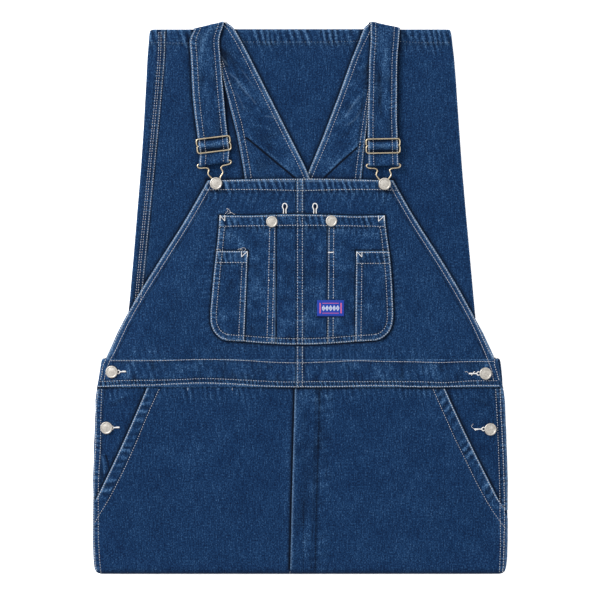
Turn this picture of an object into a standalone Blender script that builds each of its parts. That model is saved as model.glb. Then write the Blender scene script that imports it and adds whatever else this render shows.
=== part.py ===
"""Denim dungarees, laid face up on a flat surface with the legs folded back under the bib.

Sizes and places are in millimetres and MM turns them into metres. X runs across the garment,
Y from the bottom fold (-) to the shoulder folds (+) and Z up from the surface it lies on.
Left and right are as seen from above. Each cloth piece is an open sheet of sections, worked
out from the short tables below, with a Solidify modifier for its wall. The layers that don't
show are one rounded solid, hidden_layers, which the outer pieces lie on.
"""

import math

import bmesh
import bpy
from mathutils import Matrix, Vector

MM = 0.001

# Walls and gaps
GAP = 0.3             # kept between neighbouring pieces
CLOTH = 1.2           # one layer of denim
HEM = 2.1             # a turned and stitched hem
BAND = 1.9            # a felled seam or a thick edge
WAISTBAND = 1.4
FACING = 1.0          # the lighter cloth behind the hip pockets' openings
THICKEST = 2.4        # the most that any sheet's wall may be
STEP = 0.4            # width of the slope from a hem down to the plain cloth


class Table:
    """Rows with named columns, read between two rows along a straight line."""

    def __init__(self, names, rows):
        self.names = names
        self.rows = sorted(rows)

    def at(self, name, key):
        column = self.names.index(name)
        rows = self.rows
        if key <= rows[0][0]:
            return rows[0][column]
        for low, high in zip(rows, rows[1:]):
            if key <= high[0]:
                share = (key - low[0]) / (high[0] - low[0])
                return low[column] + share * (high[column] - low[column])
        return rows[-1][column]


# The folded legs' side edges
LEGS = Table(("y", "left", "right"), [
    (371.0, -206.0, 206.0),
    (246.0, -214.5, 217.0),
    (136.0, -222.8, 225.5),
    (25.0, -232.4, 235.2),
    (-27.0, -239.0, 240.0),
])
LEG_TOP_Y = 371.0
LEG_HEM_Y = 355.5
LEG_END_Y = 136.3         # where the bib hides the legs
TONGUE_END_Y = -27.0      # where the bib's own edge hides the legs' sides
LEG_ROWS = (355.2, 330.0, 290.0, 246.0, 205.0, 170.0, LEG_END_Y)
TONGUE_ROWS = (112.5, 80.0, 47.5, 10.5, TONGUE_END_Y)
LEG_SEAM = (9.6, 20.0)    # the felled outer seam, from the left leg's edge
LEG_SEAM_END_Y = 20.0     # where it runs under the bib

# Height of the upper leg's wall across the stack, underside
UPPER_LEG = Table(("x", "z"), [
    (-124.0, 3.3),
    (-102.0, 6.0),
    (92.0, 6.0),
    (105.0, 4.8),
])
LOWER_LEG_Z = 3.3
UPPER_LEG_EDGE_X = 126.0
LOWER_LEG_EDGE_X = 107.2
LEG_DROP = 1.5

# The bib's side edges, and the height of its underside at the edge and in the middle
BIB = Table(("y", "left", "right", "edge_z", "middle_z"), [
    (163.5, -127.0, 128.3, 6.6, 10.5),
    (112.5, -158.1, 159.4, 5.2, 10.5),
    (47.5, -195.3, 200.0, 4.9, 10.8),
    (10.5, -213.9, 220.0, 4.9, 11.3),
    (-27.0, -235.3, 241.0, 5.0, 12.0),
    (-71.0, -263.6, 262.5, 7.6, 13.1),
    (-81.0, -267.0, 267.0, 9.4, 13.5),
])
BIB_SLOPE = Table(("inside", "share"), [(0.0, 0.0), (14.0, 0.47), (32.0, 0.87), (50.0, 1.0)])
BIB_TOP_Y = 163.5
BIB_HEM_Y = 148.5
BIB_END_Y = -101.4        # under the waistband
BIB_SIDE_HEM = 9.8
BIB_SEAM = (-6.2, 5.6)    # the felled centre seam

# The body below the waist: side edges, height of its upper layers' underside, droop of the sides
BODY = Table(("y", "left", "right", "middle_z", "sag"), [
    (-81.0, -271.5, 272.5, 13.5, 5.6),
    (-112.0, -277.9, 277.3, 13.5, 5.0),
    (-146.0, -281.6, 281.6, 13.5, 4.4),
    (-245.0, -285.0, 285.0, 13.5, 2.8),
    (-340.0, -285.0, 284.7, 13.5, 1.8),
    (-371.0, -283.8, 283.6, 13.5, 1.5),
    (-379.0, -278.8, 278.8, 13.5, 1.5),
])
BODY_SLOPE = Table(("inside", "share"), [
    (0.0, 0.0),
    (9.0, 0.22),
    (24.0, 0.60),
    (42.0, 0.90),
    (60.0, 1.0),
])
BODY_FLOOR = CLOTH        # underside of the upper layers where they pass under the bottom fold
BODY_MIDDLE_Z = 7.0
ROUND = 6.0               # reach of a rounded side edge
BODY_DROP = 2.2
BODY_SIDE = (0.6, 2.0, 4.0, 6.0, 9.0, 24.0, 42.0, 60.0)
BODY_MIDDLE = (110.0, 190.0)

# The bottom fold
FOLD_Y = -372.0
NOSE = 7.6
NOSE_ANGLES = (30.0, 60.0, 90.0, 120.0, 150.0, 180.0)
UNDER_END_Y = -347.0      # where the wall ends under the fold

# Waist, hips and fly
WAIST_TOP_Y = -83.5
WAIST_END_Y = -122.5
FRONT_TOP_Y = -101.9
BODY_ROWS = (FRONT_TOP_Y, -112.0, -122.7, -123.1, -146.0, -180.0, -215.0, -245.0, -280.0, -310.0,
             -340.0, -357.0, FOLD_Y)
FLY_EDGE = Table(("y", "x"), [(-122.0, -7.2), (-191.0, -9.1), (-297.0, -11.9), (-379.0, -13.8)])
FLY_WIDTH = 34.0
FLY_RAISE = 0.5
POCKET_BAND = 14.0        # the hemmed edge of the slanted hip pocket
POCKET_EDGES = {"l": ((-209.1, -122.0), (-279.9, -276.7)), "r": ((198.0, -122.0), (275.2, -279.0))}

# The bib pocket
POCKET = Table(("y", "left", "right"), [
    (115.0, -111.1, 116.7),
    (65.5, -114.8, 122.8),
    (-20.0, -123.5, 127.9),
    (-33.0, -123.2, 127.6),
    (-43.0, -120.4, 124.8),
    (-51.0, -114.5, 118.5),
    (-57.0, -103.5, 107.0),
])
POCKET_ROWS = (115.0, 99.6, 99.2, 65.5, 47.5, 10.5, -20.0, -33.0, -43.0, -51.0, -57.0)
POCKET_TOP_RISE = 1.9
POCKET_BOTTOM_DIP = 5.0
POCKET_HEM_Y = 99.4
POCKET_FOLDS = (-33.2, 37.8)     # edges of the side parts, folded over the middle
POCKET_SIDE = 1.7
SEAM_BUMP = BAND - CLOTH

# The narrow pockets sewn on the bib pocket's sides: inner edge at the top and at the bottom
NARROW_POCKETS = {"l": (-71.8, -76.6), "r": (77.3, 75.9)}
NARROW_ROWS = (65.0, 50.0, 49.6, 47.5, 10.5, -20.0, -33.0, -43.0, -51.0, -56.0)
NARROW_HEM_Y = 49.8

# The woven label
LABEL_X = (23.2, 61.2)
LABEL_Y = (-24.8, -2.0)
LABEL_WALL = 1.0

# The back of the bib, seen from its inside between the straps
BACK_BIB_Z = 7.5
BACK_TOP_Z = 8.5          # over the leg's hem
BACK_HEIGHT = Table(("y", "z"), [(315.0, BACK_BIB_Z), (350.0, BACK_TOP_Z)])
BACK_LAP = CLOTH + GAP
BACK_BIB_L = Table(("y", "outer", "inner"), [
    (384.0, -146.0, -98.5),
    (370.5, -143.5, -91.5),
    (350.0, -124.6, -80.4),
    (334.7, -110.4, -72.2),
    (315.0, -107.0, -61.6),
    (281.0, -101.4, -43.5),
    (225.0, -84.0, -14.2),
    (186.0, -77.5, 6.0),
    (166.0, -75.2, 14.4),
    (136.3, -71.8, 23.5),
])
BACK_BIB_R = Table(("y", "outer", "inner"), [
    (384.0, 138.0, 95.0),
    (370.5, 136.6, 89.3),
    (350.0, 120.0, 81.0),
    (334.7, 107.6, 74.8),
    (315.0, 103.4, 66.8),
    (277.0, 95.2, 51.3),
    (212.0, 89.0, 25.0),
    (166.0, 83.8, 6.6),
    (136.3, 80.0, -5.5),
])
BACK_EDGE = 8.0           # the stitched edge along the V
BACK_FOLD_CUT = 2.9       # the back pieces start this far below the straps' folds

# Straps: rows across each strap from its shoulder fold down to the slider
STRAP_WALL = 1.6
STRAP_FOLD_R = 1.6
STRAP_END_Z = 10.6        # centre of the loop round the clasp's bar
STRAP_Z = 9.9
STRAP_HALF = 20.8         # half of its width in the slider
# left end's x and y, right end's x and y, height of the middle of the wall
STRAP_ROWS = {
    "l": ((-151.1, 355.0, -110.4, 358.0, 10.7),
          (-150.2, 330.0, -109.5, 332.0, 10.1),
          (-148.4, 280.0, -105.3, 282.0, STRAP_Z),
          (-144.8, 247.0, -102.4, 249.5, STRAP_Z)),
    "r": ((97.4, 358.0, 136.8, 355.0, 10.7),
          (95.6, 330.0, 135.3, 330.0, 10.1),
          (94.4, 280.0, 134.6, 280.0, STRAP_Z),
          (93.8, 247.0, 134.4, 247.0, STRAP_Z)),
}
STRAP_FOLDS = {"l": ((-146.5, 372.2), (-105.2, 381.6)), "r": ((98.2, 381.6), (138.4, 372.6))}
BACK_CORNERS = {"l": ((-105.2, 381.6), (-92.5, 372.2)), "r": ((90.4, 373.3), (98.2, 381.6))}
STRAP_COLUMNS = 4
LOOP_TAIL = 6.0

# Sliders: wire frames that the straps run through
SLIDER_WIRE = 1.2
SLIDER_BAR = 1.0
SLIDER_HALF = 23.2
SLIDER_SPAN = 19.5
SLIDER_CORNER = 3.2
SLIDER_PINCH = 0.8
SLIDER_Z = STRAP_Z + STRAP_WALL / 2 + GAP + SLIDER_WIRE
SLIDER_WAVE = SLIDER_WIRE + GAP + STRAP_WALL / 2
SLIDERS = {"l": (-119.2, 212.4, 7.0), "r": (114.6, 210.5, 1.0)}

# Clasps: bent wire from the strap's loop to the bib's button. Half of the outline, from the
# bar in the loop to the keyhole round the button's neck, from the button's centre.
CLASP_WIRE = 1.1
CLASP_BAR_Y = 28.6
CLASP_HALF = ((18.0, 28.6), (21.8, 28.5), (23.5, 26.8), (22.8, 24.6), (20.3, 23.3), (14.5, 22.7),
              (10.6, 22.2), (8.6, 20.6), (8.6, 18.6), (9.8, 16.0), (10.0, 13.4), (7.8, 10.0),
              (5.3, 6.6), (5.2, 4.0), (6.3, 1.0))
CLASP_LOOP = 6.4
CLASPS = {"l": (1.0, 1.0, 7.8), "r": (-1.2, -1.0, 0.7)}
CLASP_Z = 12.8

# Buttons
BUTTON_NECK_R = 3.0
BIB_BUTTONS = {"l": (-115.8, 158.6), "r": (116.8, 158.0)}
BIB_BUTTON_NECK = 3.1
POCKET_BUTTONS = {"l": (-38.8, 105.8), "r": (43.3, 106.8)}
WAIST_BUTTONS = {"l": (-259.3, -101.2), "r": (255.4, -103.5)}
HIP_BUTTONS = {"l": (-266.7, -178.4), "r": (262.3, -180.4)}
BUTTON_R = 8.5
POCKET_BUTTON_R = 7.8
FLAT_NECK = 0.9
BUTTON_SIDES = 18

# Corners of the back waist that show past the front's sides
EXTENSION_ROWS = (-82.5, -90.0, -104.0, -125.0)
EXTENSION_START = 0.6
EXTENSION_OUT = 3.8
EXTENSION_Z = 5.2

DENIM = (0.030, 0.075, 0.160)
DENIM_WORN = (0.045, 0.100, 0.200)
DENIM_DARK = (0.015, 0.040, 0.095)
BRASS = (0.72, 0.58, 0.36)
NICKEL = (0.70, 0.66, 0.60)
LABEL_BLUE = (0.010, 0.030, 0.400)


def make_material(name, colour, roughness, metallic=0.0):
    material = bpy.data.materials.new(name)
    material.use_nodes = True
    shader = material.node_tree.nodes["Principled BSDF"]
    shader.inputs["Base Color"].default_value = (*colour, 1.0)
    shader.inputs["Roughness"].default_value = roughness
    shader.inputs["Metallic"].default_value = metallic
    material.diffuse_color = (*colour, 1.0)
    return material


def add_mesh(name, bm, material):
    """A new object in the garment's collection from a bmesh in metres."""
    mesh = bpy.data.meshes.new(name)
    bm.to_mesh(mesh)
    bm.free()
    mesh.materials.append(material)
    obj = bpy.data.objects.new(name, mesh)
    garment.objects.link(obj)
    return obj


def sign_of(side):
    return -1.0 if side == "l" else 1.0


def column_of(side):
    return "left" if side == "l" else "right"


# ---------------------------------------------------------------- sheets

def sheet(name, material, columns, rows, place, thickness, cuts=(), centred=False):
    """A cloth piece: a grid of columns and rows, placed point by point, with a Solidify wall.

    place(i, j) gives a point in millimetres, row 0 at the top. thickness(x, y, z) gives the
    wall there. A cut is a point, a direction and whether the cloth beyond it goes.
    """
    bm = bmesh.new()
    bmesh.ops.create_grid(bm, x_segments=columns - 1, y_segments=rows - 1, size=1.0)
    for vert in bm.verts:
        i = round((vert.co.x + 1.0) / 2.0 * (columns - 1))
        j = round((1.0 - vert.co.y) / 2.0 * (rows - 1))
        vert.co = Vector(place(i, j)) * MM
    for point, direction, clear in cuts:
        everything = bm.verts[:] + bm.edges[:] + bm.faces[:]
        bmesh.ops.bisect_plane(bm, geom=everything, dist=1e-6, plane_co=Vector(point) * MM,
                               plane_no=direction, clear_outer=clear)
    weights = bm.verts.layers.deform.verify()
    for vert in bm.verts:
        wall = thickness(*(vert.co / MM))
        vert[weights][0] = wall / THICKEST
    obj = add_mesh(name, bm, material)
    obj.vertex_groups.new(name="wall")
    solid = obj.modifiers.new("Wall", "SOLIDIFY")
    solid.thickness = THICKEST * MM
    solid.offset = 0.0 if centred else 1.0
    solid.vertex_group = "wall"
    solid.use_even_offset = False
    return obj


def drop_at(inside):
    """How far a rounded side edge has dropped: 1 at the edge, 0 from ROUND inwards."""
    if inside >= ROUND:
        return 0.0
    return 1.0 - math.sqrt(1.0 - (1.0 - inside / ROUND) ** 2)


def upper_leg_z(x, y):
    inside = x - LEGS.at("left", y)
    return UPPER_LEG.at("z", x) - LEG_DROP * drop_at(inside)


def lower_leg_z(x, y):
    inside = LEGS.at("right", y) - x
    return LOWER_LEG_Z - LEG_DROP * drop_at(inside)


def bib_z(x, y):
    """Underside of the bib, down to the waist."""
    inside = min(x - BIB.at("left", y), BIB.at("right", y) - x)
    share = BIB_SLOPE.at("share", inside)
    edge_z = BIB.at("edge_z", y)
    return edge_z + share * (BIB.at("middle_z", y) - edge_z)


def body_point(side, inside, y, lift=0.0):
    """A point above the waist-to-fold layers: across from a side edge, lifted off the cloth."""
    sign = sign_of(side)
    edge = BODY.at(column_of(side), y)
    sag = BODY.at("sag", y) * (1.0 - BODY_SLOPE.at("share", inside))
    z = BODY.at("middle_z", y) - sag - BODY_DROP * drop_at(inside)
    along = max(0.0, 1.0 - inside / ROUND)
    normal = Vector((along * BODY_DROP, math.sqrt(1.0 - along ** 2) * ROUND)).normalized()
    return edge - sign * inside + sign * normal.x * lift, z + normal.y * lift


def body_z(x, y):
    """Underside of the outer cloth at a place on the body, away from its rounded edge."""
    side = "l" if x < 0 else "r"
    return body_point(side, abs(BODY.at(column_of(side), y) - x), y)[1]


# ---------------------------------------------------------------- hidden layers

# Across one layered side: share of the height, and how far out it stands
LAYERED_SIDE = ((0.06, 0.2), (0.16, 0.7), (0.30, 0.0), (0.44, 0.8), (0.60, 0.0), (0.76, 0.8),
                (0.92, 0.4))
CORE_Y_LEG = (371.0, 355.0, 330.0, 290.0, 246.0, 205.0, 170.0, LEG_END_Y - 0.1)
CORE_Y_BIB = (135.8, 112.5, 47.5, 10.5, TONGUE_END_Y)
CORE_Y_CORNER = (TONGUE_END_Y - 0.5, -50.0, -71.0, -81.0)
CORE_Y_BODY = (-82.5, -97.0, -112.0, -122.5, -146.0, -180.0, -215.0, -245.0, -280.0, -310.0,
               -340.0, -346.0, -346.6, -357.0, FOLD_Y)
CORE_NOSE = ((30.0, 1.0), (60.0, 1.0), (75.0, 0.97))
TONGUE = 17.0             # the legs' side walls reach this far under the bib
HUMP = 18.6
CORE_MIDDLE_X = 5.0


def core_half(side, y):
    """Top of the hidden layers across one half, from the side in: points of x and z."""
    sign = sign_of(side)
    edge = LEGS.at(column_of(side), y)
    bib_edge = BIB.at(column_of(side), y)
    leg_z = upper_leg_z if side == "l" else lower_leg_z
    if y > CORE_Y_BIB[0]:
        xs = [edge - sign * inside for inside in BODY_SIDE[:4]]
        points = [(x, leg_z(x, y)) for x in xs]
        if side == "l":
            xs = (-160.0, -124.0, -102.0, -75.0, -50.0, -25.0, -CORE_MIDDLE_X)
            points += [(x, upper_leg_z(x, y)) for x in xs]
        else:
            points += [(106.8, LOWER_LEG_Z), (106.2, UPPER_LEG.at("z", 106.2))]
            points += [(x, upper_leg_z(x, y)) for x in (105.0, 92.0, 60.0, 30.0, CORE_MIDDLE_X)]
    elif y >= TONGUE_END_Y:
        xs = [edge - sign * inside for inside in BODY_SIDE[:4]]
        xs.append(bib_edge - sign * TONGUE)
        points = [(x, leg_z(x, y)) for x in xs]
        xs = [bib_edge - sign * inside for inside in (HUMP, 32.0, 50.0, 70.0, 90.0)]
        points += [(x, bib_z(x, y)) for x in xs + [sign * CORE_MIDDLE_X]]
    elif y >= -81.0:
        insides = (0.6, 2.0, 4.0, 6.0, 10.0, 14.0, 32.0, 50.0, 70.0, 90.0)
        xs = [bib_edge - sign * inside for inside in insides] + [sign * CORE_MIDDLE_X]
        points = [(x, bib_z(x, y)) for x in xs]
    else:
        points = [body_point(side, inside, y) for inside in BODY_SIDE + (85.0, 110.0)]
        points.append((sign * CORE_MIDDLE_X, BODY.at("middle_z", y)))
    return [(x, z - GAP) for x, z in points]


def core_section(y, angle=0.0, shrink=1.0):
    """One closed section of the hidden layers: bottom, right side, top and left side."""
    tops = {side: core_half(side, y) for side in "lr"}
    under_wall = y < UNDER_END_Y + 0.5
    floor = BODY_FLOOR + GAP if under_wall else 0.0
    drop = BODY_DROP if under_wall else 0.8
    bottoms = {}
    for side in "lr":
        outer = tops[side][0][0]
        bottoms[side] = []
        for x, z in tops[side]:
            inside = abs(x - outer) + BODY_SIDE[0]
            bottoms[side].append((x, floor + drop * drop_at(inside)))
    turn = math.radians(angle)
    y_out = y - (NOSE - GAP) * math.sin(turn) * shrink

    def squeezed(top, bottom):
        middle = (top[1] + bottom[1]) / 2.0
        half = (top[1] - bottom[1]) / 2.0 * math.cos(turn)
        return (top[0], middle + half), (bottom[0], middle - half)

    rows = {side: [squeezed(t, b) for t, b in zip(tops[side], bottoms[side])] for side in "lr"}
    ring = [bottom for top, bottom in rows["l"]]
    ring += [bottom for top, bottom in reversed(rows["r"])]
    ring += layered_side("r", rows["r"][0])
    ring += [top for top, bottom in rows["r"]]
    ring += [top for top, bottom in reversed(rows["l"])]
    ring += list(reversed(layered_side("l", rows["l"][0])))
    return [(x, y_out, z) for x, z in ring]


def layered_side(side, edge_pair):
    """The rounded edges of the layers down one side, bottom to top."""
    (x, high), (_, low) = edge_pair
    return [(x + sign_of(side) * out, low + share * (high - low)) for share, out in LAYERED_SIDE]


def build_hidden_layers():
    sections = [core_section(y) for y in CORE_Y_LEG + CORE_Y_BIB + CORE_Y_CORNER + CORE_Y_BODY]
    for angle, shrink in CORE_NOSE:
        edge_y = FOLD_Y - NOSE * math.sin(math.radians(angle))
        section = core_section(FOLD_Y, angle, shrink)
        narrow = BODY.at("right", edge_y) / BODY.at("right", FOLD_Y)
        sections.append([(x * narrow, y, z) for x, y, z in section])
    around = len(sections[0])
    bm = bmesh.new()
    rings = [[bm.verts.new(Vector(point) * MM) for point in section] for section in sections]
    for upper, lower in zip(rings, rings[1:]):
        for k in range(around):
            after = (k + 1) % around
            bm.faces.new((upper[k], upper[after], lower[after], lower[k]))
    columns = len(core_half("l", 0.0)) * 2
    sides = len(LAYERED_SIDE)
    for ring in (rings[0], rings[-1]):
        for k in range(columns - 1):
            opposite = columns + sides + (columns - 1 - k)
            bm.faces.new((ring[k], ring[k + 1], ring[opposite - 1], ring[opposite]))
        right = ring[columns - 1:columns + sides + 1]
        left = ring[2 * columns + sides - 1:] + [ring[0]]
        for cap in (right, left):
            bm.faces.new(cap)
    bmesh.ops.recalc_face_normals(bm, faces=bm.faces)
    add_mesh("hidden_layers", bm, denim_dark)


# ---------------------------------------------------------------- folded legs

def build_upper_leg():
    """The leg that lies on top: its hem, its plain wall and the stretch beside the bib."""
    inner = (-124.0, -102.0, -60.0, 0.0, 60.0, 92.0, 105.0, UPPER_LEG_EDGE_X)
    sides = (0.6, 2.0, 4.0, 6.0, LEG_SEAM[0], LEG_SEAM[0] + STEP, LEG_SEAM[1], LEG_SEAM[1] + STEP)

    def place_on(rows):
        def place(i, j):
            y = rows[j]
            x = LEGS.at("left", y) + sides[i] if i < len(sides) else inner[i - len(sides)]
            return x, y, upper_leg_z(x, y)
        return place

    def wall(x, y, z):
        inside = x - LEGS.at("left", y)
        if y > LEG_HEM_Y - 0.1:
            return HEM
        seam = LEG_SEAM[0] + STEP / 2 < inside < LEG_SEAM[1] + STEP / 2
        return BAND if seam and y > LEG_SEAM_END_Y else CLOTH

    columns = len(sides) + len(inner)
    rows = (LEG_TOP_Y, LEG_HEM_Y)
    sheet("leg_hem_l", denim_worn, columns, 2, place_on(rows), wall)

    rows = LEG_ROWS + TONGUE_ROWS
    last_main = len(LEG_ROWS) - 1
    tongue_column = len(sides)

    def place(i, j):
        y = rows[j]
        if j <= last_main and i > tongue_column:
            x = inner[i - len(sides)]
        elif i < tongue_column:
            x = LEGS.at("left", y) + sides[i]
        else:
            x = BIB.at("left", y) + TONGUE - 1.2
        if i < tongue_column and j > last_main:
            x = min(x, BIB.at("left", y) + TONGUE - 1.2 - 0.1 * (tongue_column - i))
        return x, y, upper_leg_z(x, y)

    obj = sheet("leg_back_l", denim, columns, len(rows), place, wall)
    drop_faces(obj, lambda x, y: y < LEG_END_Y * MM and x > (BIB.at("left", y / MM) + TONGUE) * MM)


def drop_faces(obj, unwanted):
    """Removes the grid faces whose centre is unwanted."""
    bm = bmesh.new()
    bm.from_mesh(obj.data)
    faces = []
    for face in bm.faces:
        centre = face.calc_center_median()
        if unwanted(centre.x, centre.y):
            faces.append(face)
    bmesh.ops.delete(bm, geom=faces, context="FACES")
    bm.to_mesh(obj.data)
    bm.free()


def build_lower_leg():
    """The leg underneath shows as a strip on the right."""
    sides = (6.0, 4.0, 2.0, 0.6)

    def inner_edge(y):
        return max(LOWER_LEG_EDGE_X, BIB.at("right", y) - TONGUE + 1.2) if y < 170.0 \
            else LOWER_LEG_EDGE_X

    def place_on(rows):
        def place(i, j):
            y = rows[j]
            right = LEGS.at("right", y)
            if i < 2:
                left = inner_edge(y)
                x = left + i * (right - sides[0] - left) / 2.0
            else:
                x = right - sides[i - 2]
            return x, y, lower_leg_z(x, y)
        return place

    def place_hem(i, j):
        y = (LEG_TOP_Y, LEG_HEM_Y)[j]
        inner = (LOWER_LEG_EDGE_X, UPPER_LEG_EDGE_X + STEP, UPPER_LEG_EDGE_X + 2 * STEP)
        x = inner[i] if i < 3 else LEGS.at("right", y) - sides[i - 3]
        return x, y, lower_leg_z(x, y)

    sheet("leg_hem_r", denim_worn, 7, 2, place_hem,
          lambda x, y, z: HEM if x > UPPER_LEG_EDGE_X + 1.5 * STEP else CLOTH)
    rows = LEG_ROWS + TONGUE_ROWS
    sheet("leg_back_r", denim, 6, len(rows), place_on(rows), lambda x, y, z: CLOTH)


# ---------------------------------------------------------------- front of the body

def build_front(side):
    """A front leg with its slanted pocket edge, wrapped round the bottom fold, and the hip
    facing that shows outside that edge."""
    sign = sign_of(side)
    distances = BODY_SIDE + BODY_MIDDLE
    fly_columns = (0.0,) if side == "l" else (FLY_WIDTH + STEP, FLY_WIDTH, 0.0)
    columns = len(distances) + len(fly_columns)
    rows = [(y, 0.0) for y in BODY_ROWS]
    rows += [(FOLD_Y, angle) for angle in NOSE_ANGLES]
    rows += [(-357.0, 180.0), (UNDER_END_Y, 180.0)]

    def place(i, j):
        k = i if side == "l" else columns - 1 - i
        y, angle = rows[j]
        turn = math.radians(angle)
        y_out = y - NOSE * math.sin(turn)
        if k < len(distances):
            x, z = body_point(side, distances[k], y)
            x += BODY.at(column_of(side), y_out) - BODY.at(column_of(side), y)
            floor = BODY_FLOOR + BODY_DROP * drop_at(distances[k])
        else:
            x = FLY_EDGE.at("x", y_out) + fly_columns[k - len(distances)]
            x -= GAP if side == "l" else 0.0
            z = BODY.at("middle_z", y)
            floor = BODY_FLOOR
        middle = (z + floor) / 2.0
        half = (z - floor) / 2.0
        return x, y_out, middle + half * math.cos(turn)

    start, end = (Vector(point) for point in POCKET_EDGES[side])
    along = (end - start).normalized()
    outwards = Vector((sign * abs(along.y), abs(along.x)))
    normal = (outwards.x, outwards.y, 0.0)

    def beyond(x, y):
        """Distance outside the slanted pocket edge."""
        return (x - start.x) * outwards.x + (y - start.y) * outwards.y

    def cut_at(distance, clear):
        point = start + outwards * distance
        return (point.x, point.y, 0.0), normal, clear

    def wall(x, y, z):
        if y > WAIST_END_Y - STEP or z < BODY_MIDDLE_Z:
            return CLOTH
        if -POCKET_BAND - STEP / 2 < beyond(x, y):
            return BAND
        if side == "r" and x < FLY_EDGE.at("x", y) + FLY_WIDTH + STEP / 2:
            return CLOTH + FLY_RAISE
        return CLOTH

    cuts = (cut_at(0.0, True), cut_at(-POCKET_BAND, False), cut_at(-POCKET_BAND - STEP, False))
    sheet(f"front_leg_{side}", denim, columns, len(rows), place, wall, cuts)

    facing_rows = [y for y in BODY_ROWS if y > -300.0]
    facing_columns = len(BODY_SIDE) + 1

    def place_facing(i, j):
        k = i if side == "l" else facing_columns - 1 - i
        y = facing_rows[j]
        x, z = body_point(side, distances[k], y)
        return x, y, z

    point = start + outwards * GAP
    inwards = (-normal[0], -normal[1], 0.0)
    cuts = (((point.x, point.y, 0.0), inwards, True),)
    sheet(f"hip_facing_{side}", denim_dark, facing_columns, len(facing_rows), place_facing,
          lambda x, y, z: FACING, cuts)


def build_back_extension(side):
    """The back waist's end, a strip that shows past the front's side edge."""
    sign = sign_of(side)
    rows = EXTENSION_ROWS

    def place(i, j):
        k = i if side == "l" else 2 - i
        y = rows[j]
        edge = BODY.at(column_of(side), y) + sign * EXTENSION_START
        reach = EXTENSION_OUT * (1.0 - 0.75 * (j / (len(rows) - 1)) ** 2)
        x = edge + sign * (reach, reach * 0.45, 0.0)[k]
        return x, y, EXTENSION_Z - (0.5, 0.1, 0.0)[k]

    sheet(f"back_extension_{side}", denim_dark, 3, len(rows), place, lambda x, y, z: CLOTH)


def build_waistband(side):
    """Half of the band over the bib's lower edge and the front legs' upper edges."""
    lift = CLOTH + GAP
    rows = (WAIST_TOP_Y, -97.0, -112.0, WAIST_END_Y)
    distances = BODY_SIDE + BODY_MIDDLE
    seam = BIB_SEAM
    fly_columns = (seam[0] - GAP,) if side == "l" else (seam[1] + STEP, seam[1], seam[0])
    columns = len(distances) + len(fly_columns)

    def place(i, j):
        k = i if side == "l" else columns - 1 - i
        y = rows[j]
        if k < len(distances):
            x, z = body_point(side, distances[k], y, lift)
            return x, y, z
        return fly_columns[k - len(distances)], y, BODY.at("middle_z", y) + lift

    def wall(x, y, z):
        return BAND if side == "r" and x < seam[1] + STEP / 2 else WAISTBAND

    sheet(f"waistband_{side}", denim_worn, columns, len(rows), place, wall)


# ---------------------------------------------------------------- bib

def build_bib(side):
    """Half of the bib, with hems at its top and side and the seam down the centre."""
    sign = sign_of(side)
    rows = (BIB_TOP_Y, BIB_HEM_Y + STEP, BIB_HEM_Y, 112.5, 47.5, 10.5, -27.0, -50.0, -71.0, -81.0,
            -82.8, -97.0, BIB_END_Y)
    insides = (0.0, BIB_SIDE_HEM - STEP, BIB_SIDE_HEM, 14.0, 32.0, 50.0)
    seam = BIB_SEAM
    middle = (seam[0] - GAP,) if side == "l" else (seam[1] + STEP, seam[1], seam[0])
    columns = len(insides) + len(middle)

    def place(i, j):
        k = i if side == "l" else columns - 1 - i
        y = rows[j]
        if k >= len(insides):
            x = middle[k - len(insides)]
        elif y >= -81.0:
            x = BIB.at(column_of(side), y) - sign * insides[k]
        else:
            body_insides = (10.0, 18.0, 22.0, 24.0, 42.0, 60.0)
            x = BODY.at(column_of(side), y) - sign * body_insides[k]
        z = bib_z(x, y) if y >= -81.0 else body_z(x, y)
        return x, y, z

    def wall(x, y, z):
        if y < -81.5:
            return CLOTH
        if y > BIB_HEM_Y + STEP / 2:
            return HEM
        if side == "r" and x < seam[1] + STEP / 2:
            return BAND
        inside = abs(BIB.at(column_of(side), y) - x)
        return BAND if inside < BIB_SIDE_HEM - STEP / 2 else CLOTH

    sheet(f"bib_{side}", denim, columns, len(rows), place, wall)


def pocket_z(x, y):
    """Underside of the bib pocket, which rides over the centre seam."""
    rise = Table(("x", "z"), [(-11.0, 0.0), (-8.0, SEAM_BUMP), (7.5, SEAM_BUMP), (10.5, 0.0)])
    return BIB.at("middle_z", y) + CLOTH + GAP + rise.at("z", x)


def build_bib_pocket():
    left_fold, right_fold = POCKET_FOLDS
    half = STEP / 2
    inner = (left_fold - half, left_fold + half, -11.0, -8.0, 7.5, 10.5,
             right_fold - half, right_fold + half)
    columns = len(inner) + 2
    rows = POCKET_ROWS

    def place(i, j):
        y = rows[j]
        xs = (POCKET.at("left", y),) + inner + (POCKET.at("right", y),)
        x = xs[i]
        arch = 1.0 - (x / 120.0) ** 2
        y_out = y
        if j == 0:
            y_out += POCKET_TOP_RISE * arch
        if j == len(rows) - 1:
            y_out -= POCKET_BOTTOM_DIP * arch
        return x, y_out, pocket_z(x, y_out)

    def wall(x, y, z):
        if y > POCKET_HEM_Y:
            return HEM
        return CLOTH if left_fold < x < right_fold else POCKET_SIDE

    sheet("bib_pocket", denim, columns, len(rows), place, wall)


def on_pocket_z(y):
    return BIB.at("middle_z", y) + CLOTH + GAP + POCKET_SIDE + GAP


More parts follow.
